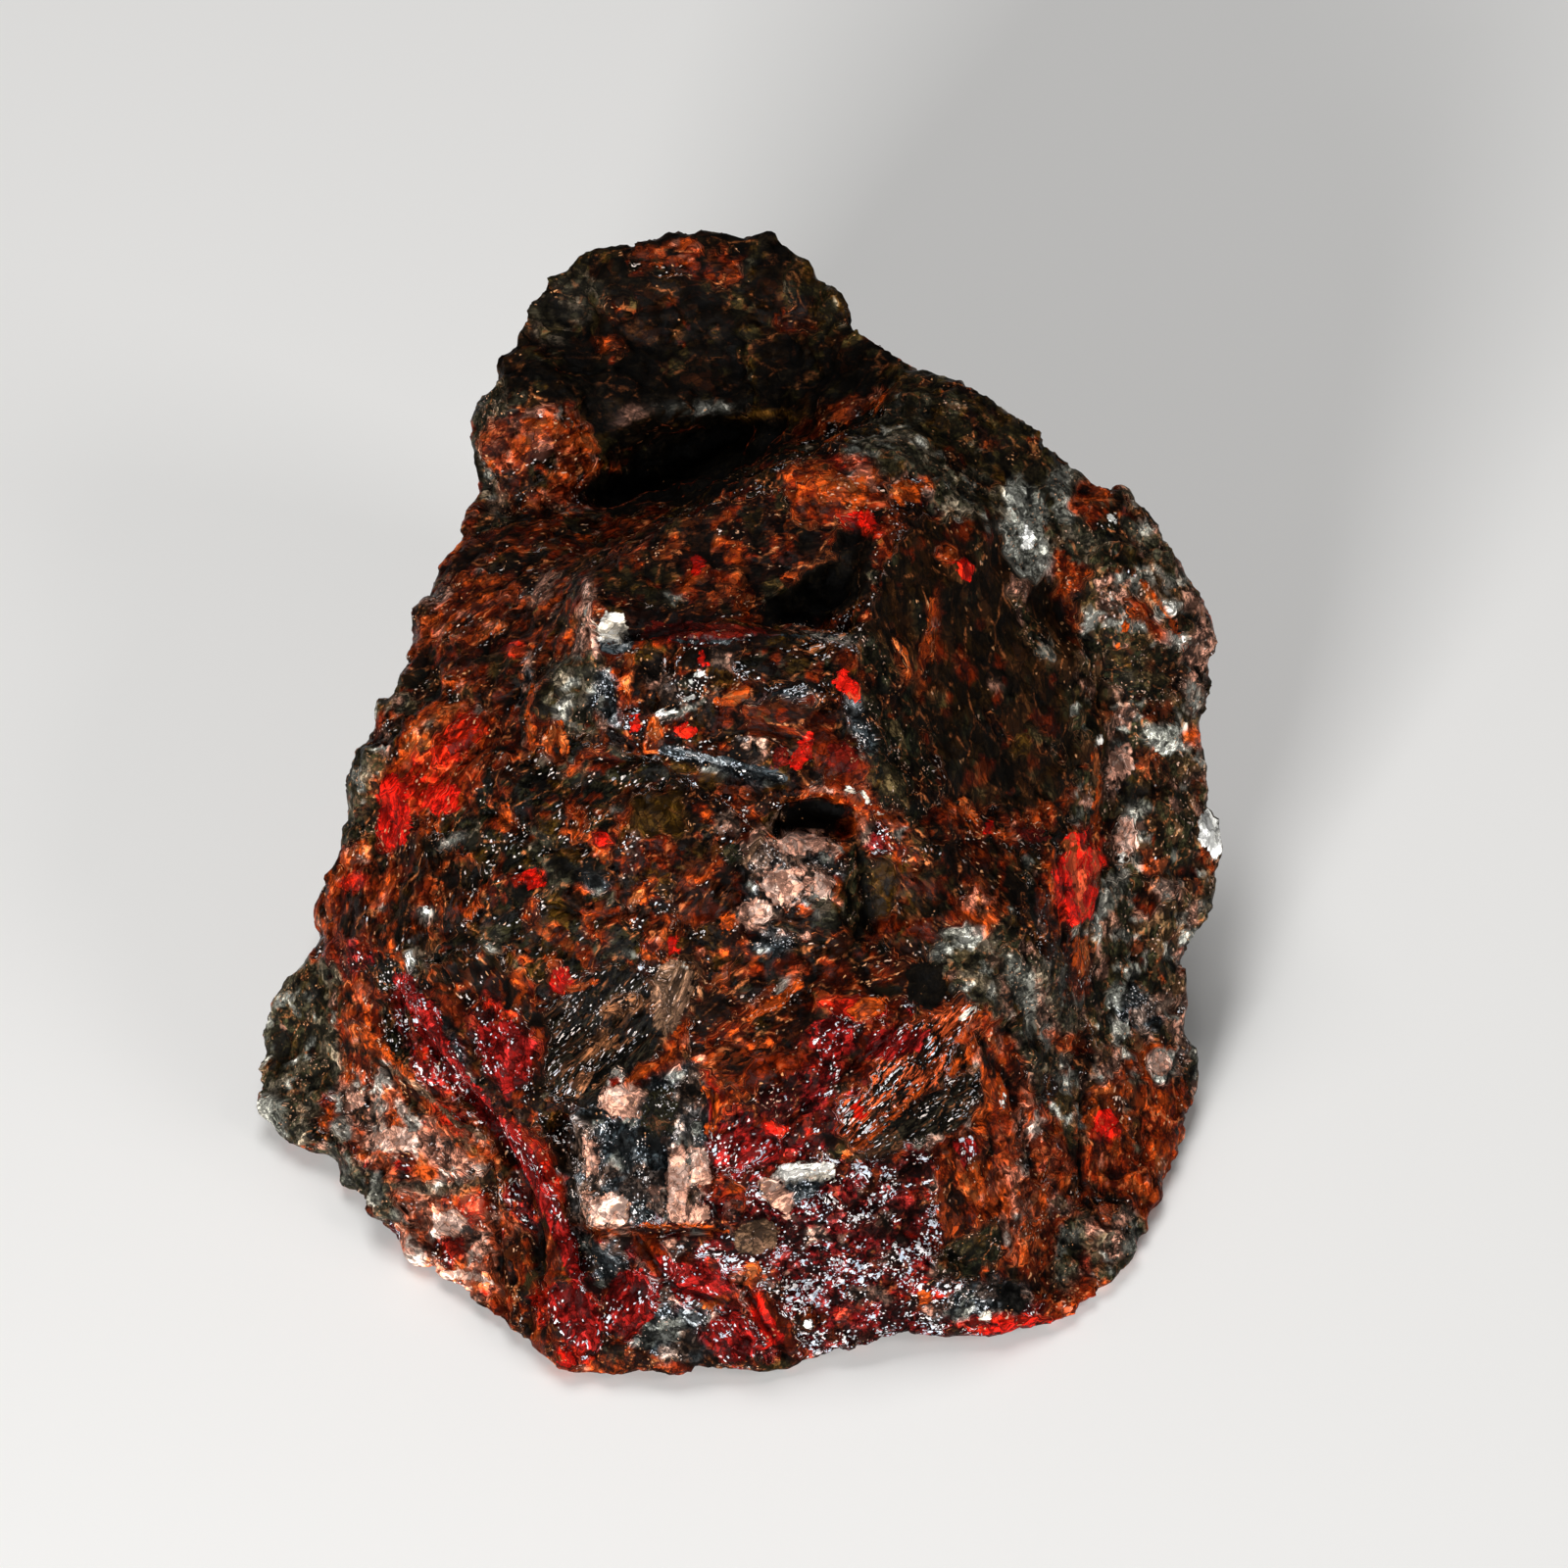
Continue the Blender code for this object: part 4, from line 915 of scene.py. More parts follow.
class RockPainter:
    """Lays the patches of rock on a surface and keeps what they make of each of its points.

    Attributes:
        kinds: of rock, whose places in this row number them.
        edge_waves: size in metres, height in millimetres and shift of each wave in the patches' edges.
        edge_fade: how wide on either side those edges fade, in millimetres.
        least_wave: how far the waves bend the edge of the narrowest patch.
        wave_growth: how much more for each millimetre of half width.
        most_wave: how far they bend the widest.
        front_fade: how much of a normal that points to the eye begins the front, and how much makes it full.
        crystal_front: share of the front from which crystals lie on it.
        crystal_fade: depths in a crystal, in millimetres, over which the relief calms.
        crystal_calm: how much it calms.
        strewn_swing: how far the waves bend the strewn grains.
        strewn_cover: least and further cover of a strewn grain.
        blob_count: blobs around the stone.
        blob_seed: of their places and kinds.
        blob_swing: how far the waves bend their edges.
        blob_handicap: how much smaller some are than others, in millimetres.
        blob_shares: chance of each rock.
    """

    kinds = tuple(Rock)
    edge_waves = ((2.6 * MM, 0.62, 3.0), (1.0 * MM, 0.40, 9.0), (0.45 * MM, 0.22, 17.0))
    edge_fade = 0.16
    least_wave, wave_growth, most_wave = 0.45, 0.5, 1.3
    front_fade = (-0.05, 0.25)
    crystal_front = 0.1
    crystal_fade = (-0.05, 0.15)
    crystal_calm = 0.5
    strewn_swing = 0.6
    strewn_cover = (0.55, 0.45)
    blob_count = 150
    blob_seed = 11
    blob_swing = 1.6
    blob_handicap = 3.0
    blob_shares = {
        Rock.RUST_BROWN: 0.26, Rock.BLACK_GREEN: 0.18, Rock.COLUMN: 0.14, Rock.RUST: 0.12,
        Rock.BROWN_GLASS: 0.12, Rock.CRIMSON: 0.07, Rock.GREY: 0.07, Rock.SALMON_RUST: 0.04,
    }

    def __init__(self, points: np.ndarray, normals: np.ndarray) -> None:
        """Lays the blobs all over, and then the patches and crystals on the front.

        Args:
            points: the surface's points, one a row, in metres.
            normals: their normals.
        """
        self.points = points
        count = len(points)
        self.kind = np.zeros(count, int)
        self.main, self.fleck, self.make = (np.zeros((count, 3)) for _ in range(3))
        self.guest, self.guest_fleck, self.guest_make = (np.zeros((count, 3)) for _ in range(3))
        self.roughness = np.zeros(count)
        self.relief = np.zeros(count)
        self.edge = np.full(count, -FAR)
        self.grain = points / MM
        waves = (noise_vectors(points, size, shift) * height for size, height, shift in self.edge_waves)
        self.swing = sum(waves)
        self.front = smooth_step(*self.front_fade, normals @ np.array(BOARD.toward))
        self._lay_blobs()
        self._lay_patches()
        self._lay_crystals()

    def _lay(self, rock: Rock, weight: np.ndarray) -> None:
        """Covers the points with a rock as far as the weight says."""
        look = rock.value
        share = weight[:, None]
        self.main += (np.array(look.main) - self.main) * share
        self.fleck += (np.array(look.fleck) - self.fleck) * share
        self.make += (np.array([look.flecks, look.veins, look.glints]) - self.make) * share
        self.roughness += (look.roughness - self.roughness) * weight
        self.relief += (look.relief - self.relief) * weight
        self.kind[weight > 0.5] = self.kinds.index(rock)

    def _set_grain(self, look: RockLook, turn: float, inside: np.ndarray) -> None:
        """Gives the points inside a patch the size and lie of its grains."""
        if not inside.any():
            return
        along = np.array(BOARD.across * math.cos(turn) + BOARD.upward * math.sin(turn))
        middle = self.points[inside].mean(axis=0) / MM
        place = self.points[inside] / MM - middle
        length = (place @ along)[:, None] * along
        self.grain[inside] = middle + (place - length * (1 - 1 / look.stretch)) / look.grain

    def _lay_blobs(self) -> None:
        """Covers all of the surface with seeded blobs of the rocks that the front shows."""
        rocks = list(self.blob_shares)
        chances = np.array(list(self.blob_shares.values()))
        draw = np.random.default_rng(self.blob_seed)
        low, high = self.points.min(axis=0), self.points.max(axis=0)
        centres = draw.uniform(low, high, (self.blob_count, 3)) / MM
        own_rocks = draw.choice(len(rocks), self.blob_count, p=chances / chances.sum())
        handicaps = draw.uniform(0, self.blob_handicap, self.blob_count)
        warped = self.points / MM + self.swing * self.blob_swing
        nearest = np.full(len(self.points), np.inf)
        blob = np.zeros(len(self.points), int)
        for number, (centre, handicap) in enumerate(zip(centres, handicaps)):
            distance = np.linalg.norm(warped - centre, axis=1) + handicap
            closer = distance < nearest
            nearest[closer] = distance[closer]
            blob[closer] = number
        for number, rock in enumerate(rocks):
            self._lay(rock, (own_rocks[blob] == number).astype(float))

    def _lay_patches(self) -> None:
        """Lays the broad and then the fine patches on the front."""
        places = BOARD.places(self.points)
        for patch in BROAD_PATCHES + FINE_PATCHES:
            turn = math.radians(patch.turn)
            wave = min(self.most_wave, self.least_wave + patch.half_width * self.wave_growth)
            offset = places + self.swing[:, :2] * wave - np.array([patch.across, patch.up])
            along = offset[:, 0] * math.cos(turn) + offset[:, 1] * math.sin(turn)
            aside = offset[:, 1] * math.cos(turn) - offset[:, 0] * math.sin(turn)
            reach = np.hypot(along / patch.half_length, aside / patch.half_width)
            fade = self.edge_fade / patch.half_width
            weight = (1 - smooth_step(1 - fade, 1 + fade, reach)) * self.front * patch.strength
            self._lay(patch.rock, weight)
            self._set_grain(patch.rock.value, turn, weight > 0.5)

    def _lay_crystals(self) -> None:
        """Keeps how deep each point lies in the nearest crystal, and what that crystal is like."""
        places = BOARD.places(self.points)
        for crystal in CRYSTALS:
            look = crystal.rock.value
            depth = crystal.depth(places)
            nearer = (depth > self.edge) & (self.front > self.crystal_front)
            self.edge[nearer] = depth[nearer]
            self.guest[nearer] = look.main
            self.guest_fleck[nearer] = look.fleck
            self.guest_make[nearer] = (look.flecks, look.roughness, look.glints)
        self.relief *= 1 - self.crystal_calm * smooth_step(*self.crystal_fade, self.edge)

    def strew(self, size: float, amount: float, shift: float) -> None:
        """Strews small grains of each rock's guests through it.

        Args:
            size: of the grains, in metres.
            amount: how much of the guests' share they take, 0 to 1.
            shift: moves the pattern.
        """
        warped = (self.points + self.swing * self.strewn_swing * MM) / size + shift
        centres = (noise.voronoi(Vector(place))[1][0] for place in warped)
        lots = np.array([tuple(noise.cell_vector(centre * LOT_SEED)) for centre in centres])
        least, further = self.strewn_cover
        host = self.kind.copy()
        for rock, (share, guests) in GUESTS.items():
            taken = (host == self.kinds.index(rock)) & (lots[:, 0] < share * amount)
            for number, guest in enumerate(guests):
                chosen = taken & (np.floor(lots[:, 1] * len(guests)).astype(int) == number)
                self._lay(guest, chosen * (least + further * lots[:, 2]))


@dataclass(frozen=True)
class Term:
    """One output of a shader node, which Python's operators join to Math nodes."""

    book: "NodeBook"
    socket: bpy.types.NodeSocket

    def other(self, name: str) -> "Term":
        """Another output of the same node."""
        return Term(self.book, self.socket.node.outputs[name])

    def __add__(self, value: "Term | float") -> "Term":
        """self + value."""
        return self.book.maths("ADD", self, value)

    __radd__ = __add__

    def __sub__(self, value: "Term | float") -> "Term":
        """self - value."""
        return self.book.maths("SUBTRACT", self, value)

    def __rsub__(self, value: "Term | float") -> "Term":
        """value - self."""
        return self.book.maths("SUBTRACT", value, self)

    def __mul__(self, value: "Term | float") -> "Term":
        """self * value."""
        return self.book.maths("MULTIPLY", self, value)

    __rmul__ = __mul__

    def gained(self, gain_and_least: Pair) -> "Term":
        """self times a gain, and a least added to it."""
        gain, least = gain_and_least
        return self * gain + least

    def step(self, low: float, high: float) -> "Term":
        """Rises smoothly from 0 where self is low to 1 where it is high."""
        settings = {"interpolation_type": "SMOOTHSTEP"}
        sockets = {"Value": self, "From Min": low, "From Max": high, "To Min": 0.0, "To Max": 1.0}
        return self.book.node("ShaderNodeMapRange", settings, sockets)


Value = Term | float | Sequence[float]
Sockets = dict[str | int, Value]


class NodeBook:
    """Writes the nodes of one material."""

    def __init__(self, name: str) -> None:
        """Opens a new material with its Principled shader."""
        self.material = bpy.data.materials.new(name)
        self.material.use_nodes = True
        self.tree = self.material.node_tree
        self.shader = self.tree.nodes["Principled BSDF"]

    def _fill(self, node: bpy.types.Node, sockets: Sockets) -> None:
        """Sets or links a node's inputs."""
        for key, value in sockets.items():
            if isinstance(value, Term):
                self.tree.links.new(value.socket, node.inputs[key])
            else:
                node.inputs[key].default_value = value

    def node(self, kind: str, settings: dict[str, Any], sockets: Sockets, output: str | int = 0) -> Term:
        """Adds a node.

        Args:
            kind: the node's type.
            settings: its own values, which are set first.
            sockets: values or links of its inputs.
            output: the output that is wanted.

        Returns:
            That output.
        """
        node = self.tree.nodes.new(kind)
        for name, value in settings.items():
            setattr(node, name, value)
        self._fill(node, sockets)
        return Term(self, node.outputs[output])

    def attribute(self, name: str, output: str) -> Term:
        """What the mesh keeps under a name."""
        return self.node("ShaderNodeAttribute", {"attribute_name": name}, {}, output)

    def noise(self, place: Value, swings: Swings, output: str | int = 0) -> Term:
        """Fractal noise over a place."""
        scale, detail, roughness = swings
        sockets = {"Vector": place, "Scale": scale, "Detail": detail, "Roughness": roughness}
        return self.node("ShaderNodeTexNoise", {}, sockets, output)

    def grains(self, place: Value, scale: float) -> Term:
        """A random colour for each grain, with scale grains a millimetre."""
        return self.node("ShaderNodeTexVoronoi", {}, {"Vector": place, "Scale": scale}, "Color")

    def seams(self, place: Value, scale: float) -> Term:
        """How far a place lies from the seam between such grains."""
        sockets = {"Vector": place, "Scale": scale}
        return self.node("ShaderNodeTexVoronoi", {"feature": "DISTANCE_TO_EDGE"}, sockets)

    def parts(self, colour: Term) -> Term:
        """The red part of a colour. Its other parts are the node's other outputs."""
        return self.node("ShaderNodeSeparateColor", {}, {0: colour})

    def maths(self, operation: str, first: "Term | float", second: "Term | float") -> Term:
        """A Math node on two values."""
        return self.node("ShaderNodeMath", {"operation": operation}, {0: first, 1: second})

    def vector(self, operation: str, *vectors: Value) -> Term:
        """A Vector Math node on one vector or two."""
        return self.node("ShaderNodeVectorMath", {"operation": operation}, dict(enumerate(vectors)))

    def scaled(self, vector: Value, scale: Value) -> Term:
        """A vector times a number."""
        return self.node("ShaderNodeVectorMath", {"operation": "SCALE"}, {0: vector, "Scale": scale})

    def mix(self, factor: Value, first: Value, second: Value, way: str = "MIX") -> Term:
        """Mixes two colours.

        Args:
            factor: 0 for the first, 1 for the second.
            first: a colour.
            second: a colour.
            way: such as MIX or MULTIPLY.

        Returns:
            The mixed colour.
        """
        settings = {"data_type": "RGBA", "blend_type": way}
        return self.node("ShaderNodeMix", settings, {0: factor, 6: first, 7: second}, 2)

    def finish(self, **sockets: Value) -> bpy.types.Material:
        """Sets the shader's inputs, whose names have _ for each space, and returns the material."""
        self._fill(self.shader, {name.replace("_", " "): value for name, value in sockets.items()})
        return self.material


def weigh(shares: Sequence[float], *terms: Term, start: "Term | float" = 0.0) -> Term:
    """Adds up values.

    Args:
        shares: how much each value counts.
        terms: the values.
        start: what they are added to.

    Returns:
        The sum.
    """
    return sum((term * share for term, share in zip(terms, shares)), start)


@dataclass(frozen=True)
class Grit:
    """The patterns that the finish follows.

    Attributes:
        place: on the rock in millimetres, drawn out as its grains are.
        bent: the same, with a wander that bends the grains' edges.
        coarse: a random colour for each grain.
        fine: one for each fine grain.
        lot: the parts of the coarse one.
        fine_lot: the parts of the fine one.
        cloud: slow swings.
        dust: quick swings.
        crumbs: quicker ones.
    """

    place: Term
    bent: Term
    coarse: Term
    fine: Term
    lot: Term
    fine_lot: Term
    cloud: Term
    dust: Term
    crumbs: Term


@dataclass(frozen=True)
class Cover:
    """What lies at a place, which is rock or a crystal in it.

    Attributes:
        main: colour of most of its grains.
        fleck: colour of the grains that stand out.
        flecks: share of those grains.
        veins: how much veining it has.
        glints: how much its faces tilt and flash.
        roughness: of the faces.
        inside: 1 in a crystal, 0 in the rock.
        rim: 1 on a crystal's edge, 0 away from it.
    """

    main: Term
    fleck: Term
    flecks: Term
    veins: Term
    glints: Term
    roughness: Term
    inside: Term
    rim: Term


@dataclass(frozen=True)
class RockFinish:
    """The broken rock: grains of two colours, rusty veins between them, faces that flash, and painted glints
    in the colour.

    Swings are of the noise that they are named after. A range says where a value counts as 0 and where as
    1, and a blend how softly it turns from one to the other. Shares say how much each of several values
    counts. A gain is a pair: a value is multiplied by its first number, and its second is added.

    Attributes:
        grains: grains a millimetre.
        fine_grains: fine grains a millimetre.
        painted_sparkles: tiny painted glints a millimetre, bright specks in the colour, few of which show.
        blocks: blocks a millimetre, with dark seams between them.
        vein_blocks: blocks a millimetre, with veins between them.
        wander: how far the grains' edges bend, in millimetres.
        cluster_range: of the clusters that the glints gather in.
        edge_shares: of its swings, the dust and the fine grains in a crystal's edge, in millimetres.
        rim_width: of a crystal's dark rim on either side of its edge, in millimetres.
        rim_dark: how much darker the rim is.
        fleck_shares: of the cloud, the grains and the dust in what makes a fleck.
        fleck_ranges: of the cloud and of the dust there.
        fleck_bias: what is added to the share of flecks, and what multiplies what it is held against.
        vein_width: in blocks.
        vein_cloud: how much the cloud counts beside the dust in where veins show.
        shade_shares: of the grains, the fine grains and the dust in how bright a grain is.
        shade_dust: range of the dust there.
        plain_shade: brightness of rock without contrast.
        contrast_gain: by which the glints make contrast.
        crystal_calm: how much less contrast a crystal has.
        flat_painted_light: brightness of a flat, where the painted shade and highlights of the relief start
            from.
        hollow_painted_shade: how much darker a hollow is painted, as painted shade.
        ridge_painted_highlight: how much lighter an edge is painted, as a painted highlight.
        seam_width: in blocks.
        seam_gain: of the brightness away from the seams.
        speck_least: glints over which painted glint specks show.
        speck_gain: by which clusters make specks.
        speck_crumbs: how much more of a speck shows where specks are many.
        tiny_gain: by which clusters make sparkles.
        tiny_bias: what is taken off them.
        tiny_light: gain of their brightness.
        painted_glint_colour: of the warm painted glints, bright specks painted into the colour.
        cold_painted_glint: of the cold ones.
        dull_painted_glint: of those in dull rock.
        tilt: gain by which the glints tilt the grain faces.
        fine_tilt: the same for the fine ones.
        bump: strength and depth in metres of the finest relief.
        polish_shares: of the grains and the crumbs in how rough a face is.
        mirrors: share of the faces in the brightest rock that mirror.
        mirror_metal: how metallic they are.
        refraction: index of refraction of the rock.
        sheen: how strongly it mirrors, 0.5 being plain.
    """

    grains: float = 1.7
    fine_grains: float = 4.6
    painted_sparkles: float = 12.0
    blocks: float = 1.5
    vein_blocks: float = 0.7
    wander: float = 0.45
    wander_swings: Swings = (1.1, 4.0, 0.5)
    cloud_swings: Swings = (0.45, 6.0, 0.6)
    dust_swings: Swings = (2.6, 6.0, 0.75)
    crumb_swings: Swings = (7.0, 3.0, 0.7)
    cluster_swings: Swings = (0.7, 2.0, 0.5)
    cluster_range: Pair = (0.44, 0.62)
    edge_swings: Swings = (1.3, 5.0, 0.6)
    edge_shares: Triple = (0.9, 0.3, 0.1)
    edge_blend: float = 0.012
    rim_width: float = 0.05
    rim_dark: float = 0.5
    fleck_shares: Triple = (0.40, 0.30, 0.30)
    fleck_ranges: tuple[Pair, Pair] = ((0.30, 0.70), (0.35, 0.65))
    fleck_bias: Pair = (0.08, 1.1)
    fleck_blend: float = 0.04
    vein_colour: Colour = (0.40, 0.115, 0.035)
    vein_width: float = 0.06
    vein_cloud: float = 0.5
    vein_range: Pair = (0.72, 0.84)
    shade_shares: Triple = (0.30, 0.30, 0.40)
    shade_dust: Pair = (0.36, 0.64)
    shade_range: Pair = (0.22, 0.82)
    shade_gain: Pair = (2.9, 0.10)
    plain_shade: float = 0.85
    contrast_gain: Pair = (0.6, 0.5)
    crystal_calm: float = 0.15
    flat_painted_light: float = 1.1
    hollow_painted_shade: float = 0.8
    hollow_range: Pair = (0.5, 0.9)
    ridge_painted_highlight: float = 0.6
    ridge_range: Pair = (0.0, 0.4)
    seam_width: float = 0.05
    seam_gain: Pair = (0.65, 0.35)
    speck_least: float = 0.5
    speck_gain: Pair = (0.24, 0.01)
    speck_crumbs: float = 0.5
    speck_range: Pair = (0.48, 0.53)
    tiny_gain: Pair = (0.16, 0.03)
    tiny_bias: float = 0.012
    tiny_light: Pair = (0.7, 0.3)
    glint_blend: float = 0.01
    painted_glint_colour: Colour = (0.92, 0.84, 0.80)
    cold_painted_glint: Colour = (0.62, 0.72, 0.84)
    dull_painted_glint: Colour = (0.60, 0.28, 0.12)
    glint_range: Pair = (0.25, 0.75)
    tilt: Pair = (0.55, 0.15)
    fine_tilt: Pair = (0.45, 0.12)
    bump: Pair = (0.7, 0.1 * MM)
    polish_shares: Pair = (0.2, 0.3)
    mirrors: float = 0.25
    mirror_blend: float = 0.1
    mirror_metal: float = 0.5
    refraction: float = 1.5
    sheen: float = 0.04

    def material(self) -> bpy.types.Material:
        """Makes the material, which reads what the painter left on the mesh."""
        book = NodeBook("broken_rock")
        grit = self._grit(book)
        cover = self._cover(book, grit)
        colour = self._grained(book, grit, cover)
        colour = book.mix(1.0, colour, self._shades(book, grit, cover), "MULTIPLY")
        # Painted glints: bright specks painted into the base colour where the faces flash.
        painted_flash, painted_glint = self._painted_glints(book, grit, cover)
        swings = (grit.lot.other("Blue") - 0.5, grit.crumbs - 0.5)
        mirror = (grit.fine_lot - (1.0 - cover.glints * self.mirrors)).step(0.0, self.mirror_blend)
        return book.finish(
            Base_Color=book.mix(painted_flash, colour, painted_glint),
            Roughness=weigh(self.polish_shares, *swings, start=cover.roughness),
            Metallic=mirror * self.mirror_metal,
            Normal=self._faces(book, grit, cover),
            IOR=self.refraction,
            Specular_IOR_Level=self.sheen,
        )

    def _grit(self, book: NodeBook) -> Grit:
        """The patterns of the grains."""
        place = book.attribute("grain", "Vector")
        wander = book.vector("SUBTRACT", book.noise(place, self.wander_swings, "Color"), HALVES)
        bent = book.vector("ADD", place, book.scaled(wander, self.wander))
        coarse, fine = book.grains(bent, self.grains), book.grains(bent, self.fine_grains)
        return Grit(
            place, bent, coarse, fine, book.parts(coarse), book.parts(fine),
            book.noise(place, self.cloud_swings), book.noise(bent, self.dust_swings),
            book.noise(bent, self.crumb_swings),
        )

    def _cover(self, book: NodeBook, grit: Grit) -> Cover:
        """What the painter laid, with the crystals' ragged edges drawn fine."""
        make = book.parts(book.attribute("make", "Color"))
        guest = book.parts(book.attribute("guest_make", "Color"))
        ragged = book.noise(grit.place, self.edge_swings)
        pushes = (ragged - 0.5, grit.dust - 0.5, grit.fine_lot - 0.5)
        outline = weigh(self.edge_shares, *pushes, start=book.attribute("edge", "Fac"))
        inside = outline.step(-self.edge_blend, self.edge_blend)
        roughness = book.attribute("roughness", "Fac")
        glints = make.other("Blue")
        return Cover(
            main=book.mix(inside, book.attribute("main", "Color"), book.attribute("guest", "Color")),
            fleck=book.mix(inside, book.attribute("fleck", "Color"), book.attribute("guest_fleck", "Color")),
            flecks=make + (guest - make) * inside,
            veins=make.other("Green") * (1 - inside),
            glints=glints + (guest.other("Blue") - glints) * inside,
            roughness=roughness + (guest.other("Green") - roughness) * inside,
            inside=inside,
            rim=outline.step(-self.rim_width, 0.0) - outline.step(0.0, self.rim_width),
        )

    def _grained(self, book: NodeBook, grit: Grit, cover: Cover) -> Term:
        """The colour of the grains and of the veins between them."""
        cloud_range, dust_range = self.fleck_ranges
        bias, gain = self.fleck_bias
        pick = weigh(self.fleck_shares, grit.cloud.step(*cloud_range), grit.lot, grit.dust.step(*dust_range))
        is_fleck = (cover.flecks + bias - pick * gain).step(-self.fleck_blend, self.fleck_blend)
        colour = book.mix(is_fleck, cover.main, cover.fleck)
        off_vein = book.seams(grit.bent, self.vein_blocks).step(0.0, self.vein_width)
        shown = (grit.dust + grit.cloud * self.vein_cloud).step(*self.vein_range)
        return book.mix((1 - off_vein) * cover.veins * shown, colour, (*self.vein_colour, 1))

    def _shades(self, book: NodeBook, grit: Grit, cover: Cover) -> Term:
        """How bright each grain is, as a grey that its colour is multiplied by, with painted shade in hollows
        and painted highlights on edges.
        """
        lots = (grit.lot.other("Green"), grit.fine_lot.other("Green"), grit.dust.step(*self.shade_dust))
        lively = weigh(self.shade_shares, *lots).step(*self.shade_range)
        varied = (lively * lively * lively).gained(self.shade_gain)
        contrast = cover.glints.gained(self.contrast_gain).step(0.0, 1.0)
        contrast = contrast * (1 - cover.inside * self.crystal_calm)
        shade = (1 - contrast) * self.plain_shade + varied * contrast
        # Painted shade and light: the colour is darkened in the hollows of the relief and lightened on its
        # edges.
        hollow = book.attribute("hollow", "Fac")
        painted_relief_light = self.flat_painted_light - hollow.step(*self.hollow_range) * self.hollow_painted_shade
        painted_relief_light = painted_relief_light + (0.5 - hollow).step(*self.ridge_range) * self.ridge_painted_highlight
        shade = shade * painted_relief_light * (1 - cover.rim * self.rim_dark)
        seams = book.seams(grit.bent, self.blocks).step(0.0, self.seam_width)
        shade = shade * seams.gained(self.seam_gain)
        return book.node("ShaderNodeCombineColor", {}, {0: shade, 1: shade, 2: shade})

    def _painted_glints(self, book: NodeBook, grit: Grit, cover: Cover) -> tuple[Term, Term]:
        """Where painted glints go into the colour, from 0 to 1, and in which colour: bright specks where the
        grains flash.
        """
        cluster = book.noise(grit.place, self.cluster_swings).step(*self.cluster_range)
        share = (cover.glints - self.speck_least) * cluster.gained(self.speck_gain)
        speck = (grit.fine_lot.other("Blue") - 1.0 + share).step(0.0, self.glint_blend)
        speck = speck * (grit.crumbs + share * self.speck_crumbs).step(*self.speck_range)
        share = cover.glints * cluster.gained(self.tiny_gain) - self.tiny_bias
        sparkle = book.parts(book.grains(grit.bent, self.painted_sparkles))
        tiny = (sparkle - 1.0 + share).step(0.0, self.glint_blend)
        tiny = tiny * sparkle.other("Green").gained(self.tiny_light)
        painted_glint = book.mix(grit.lot.other("Blue"), (*self.painted_glint_colour, 1), (*self.cold_painted_glint, 1))
        painted_glint = book.mix(cover.glints.step(*self.glint_range), (*self.dull_painted_glint, 1), painted_glint)
        return (speck + tiny).step(0.0, 1.0), painted_glint

    def _faces(self, book: NodeBook, grit: Grit, cover: Cover) -> Term:
        """The normal: that of the surface, tilted grain by grain and roughened by the dust."""
        lean = book.scaled(book.vector("SUBTRACT", grit.coarse, HALVES), cover.glints.gained(self.tilt))
        fine_lean = book.vector("SUBTRACT", grit.fine, HALVES)
        fine_lean = book.scaled(fine_lean, cover.glints.gained(self.fine_tilt))
        normal = book.node("ShaderNodeNewGeometry", {}, {}, "Normal")
        tilted = book.vector("NORMALIZE", book.vector("ADD", normal, book.vector("ADD", lean, fine_lean)))
        strength, depth = self.bump
        sockets = {"Strength": strength, "Distance": depth, "Height": grit.dust, "Normal": tilted}
        return book.node("ShaderNodeBump", {}, sockets)


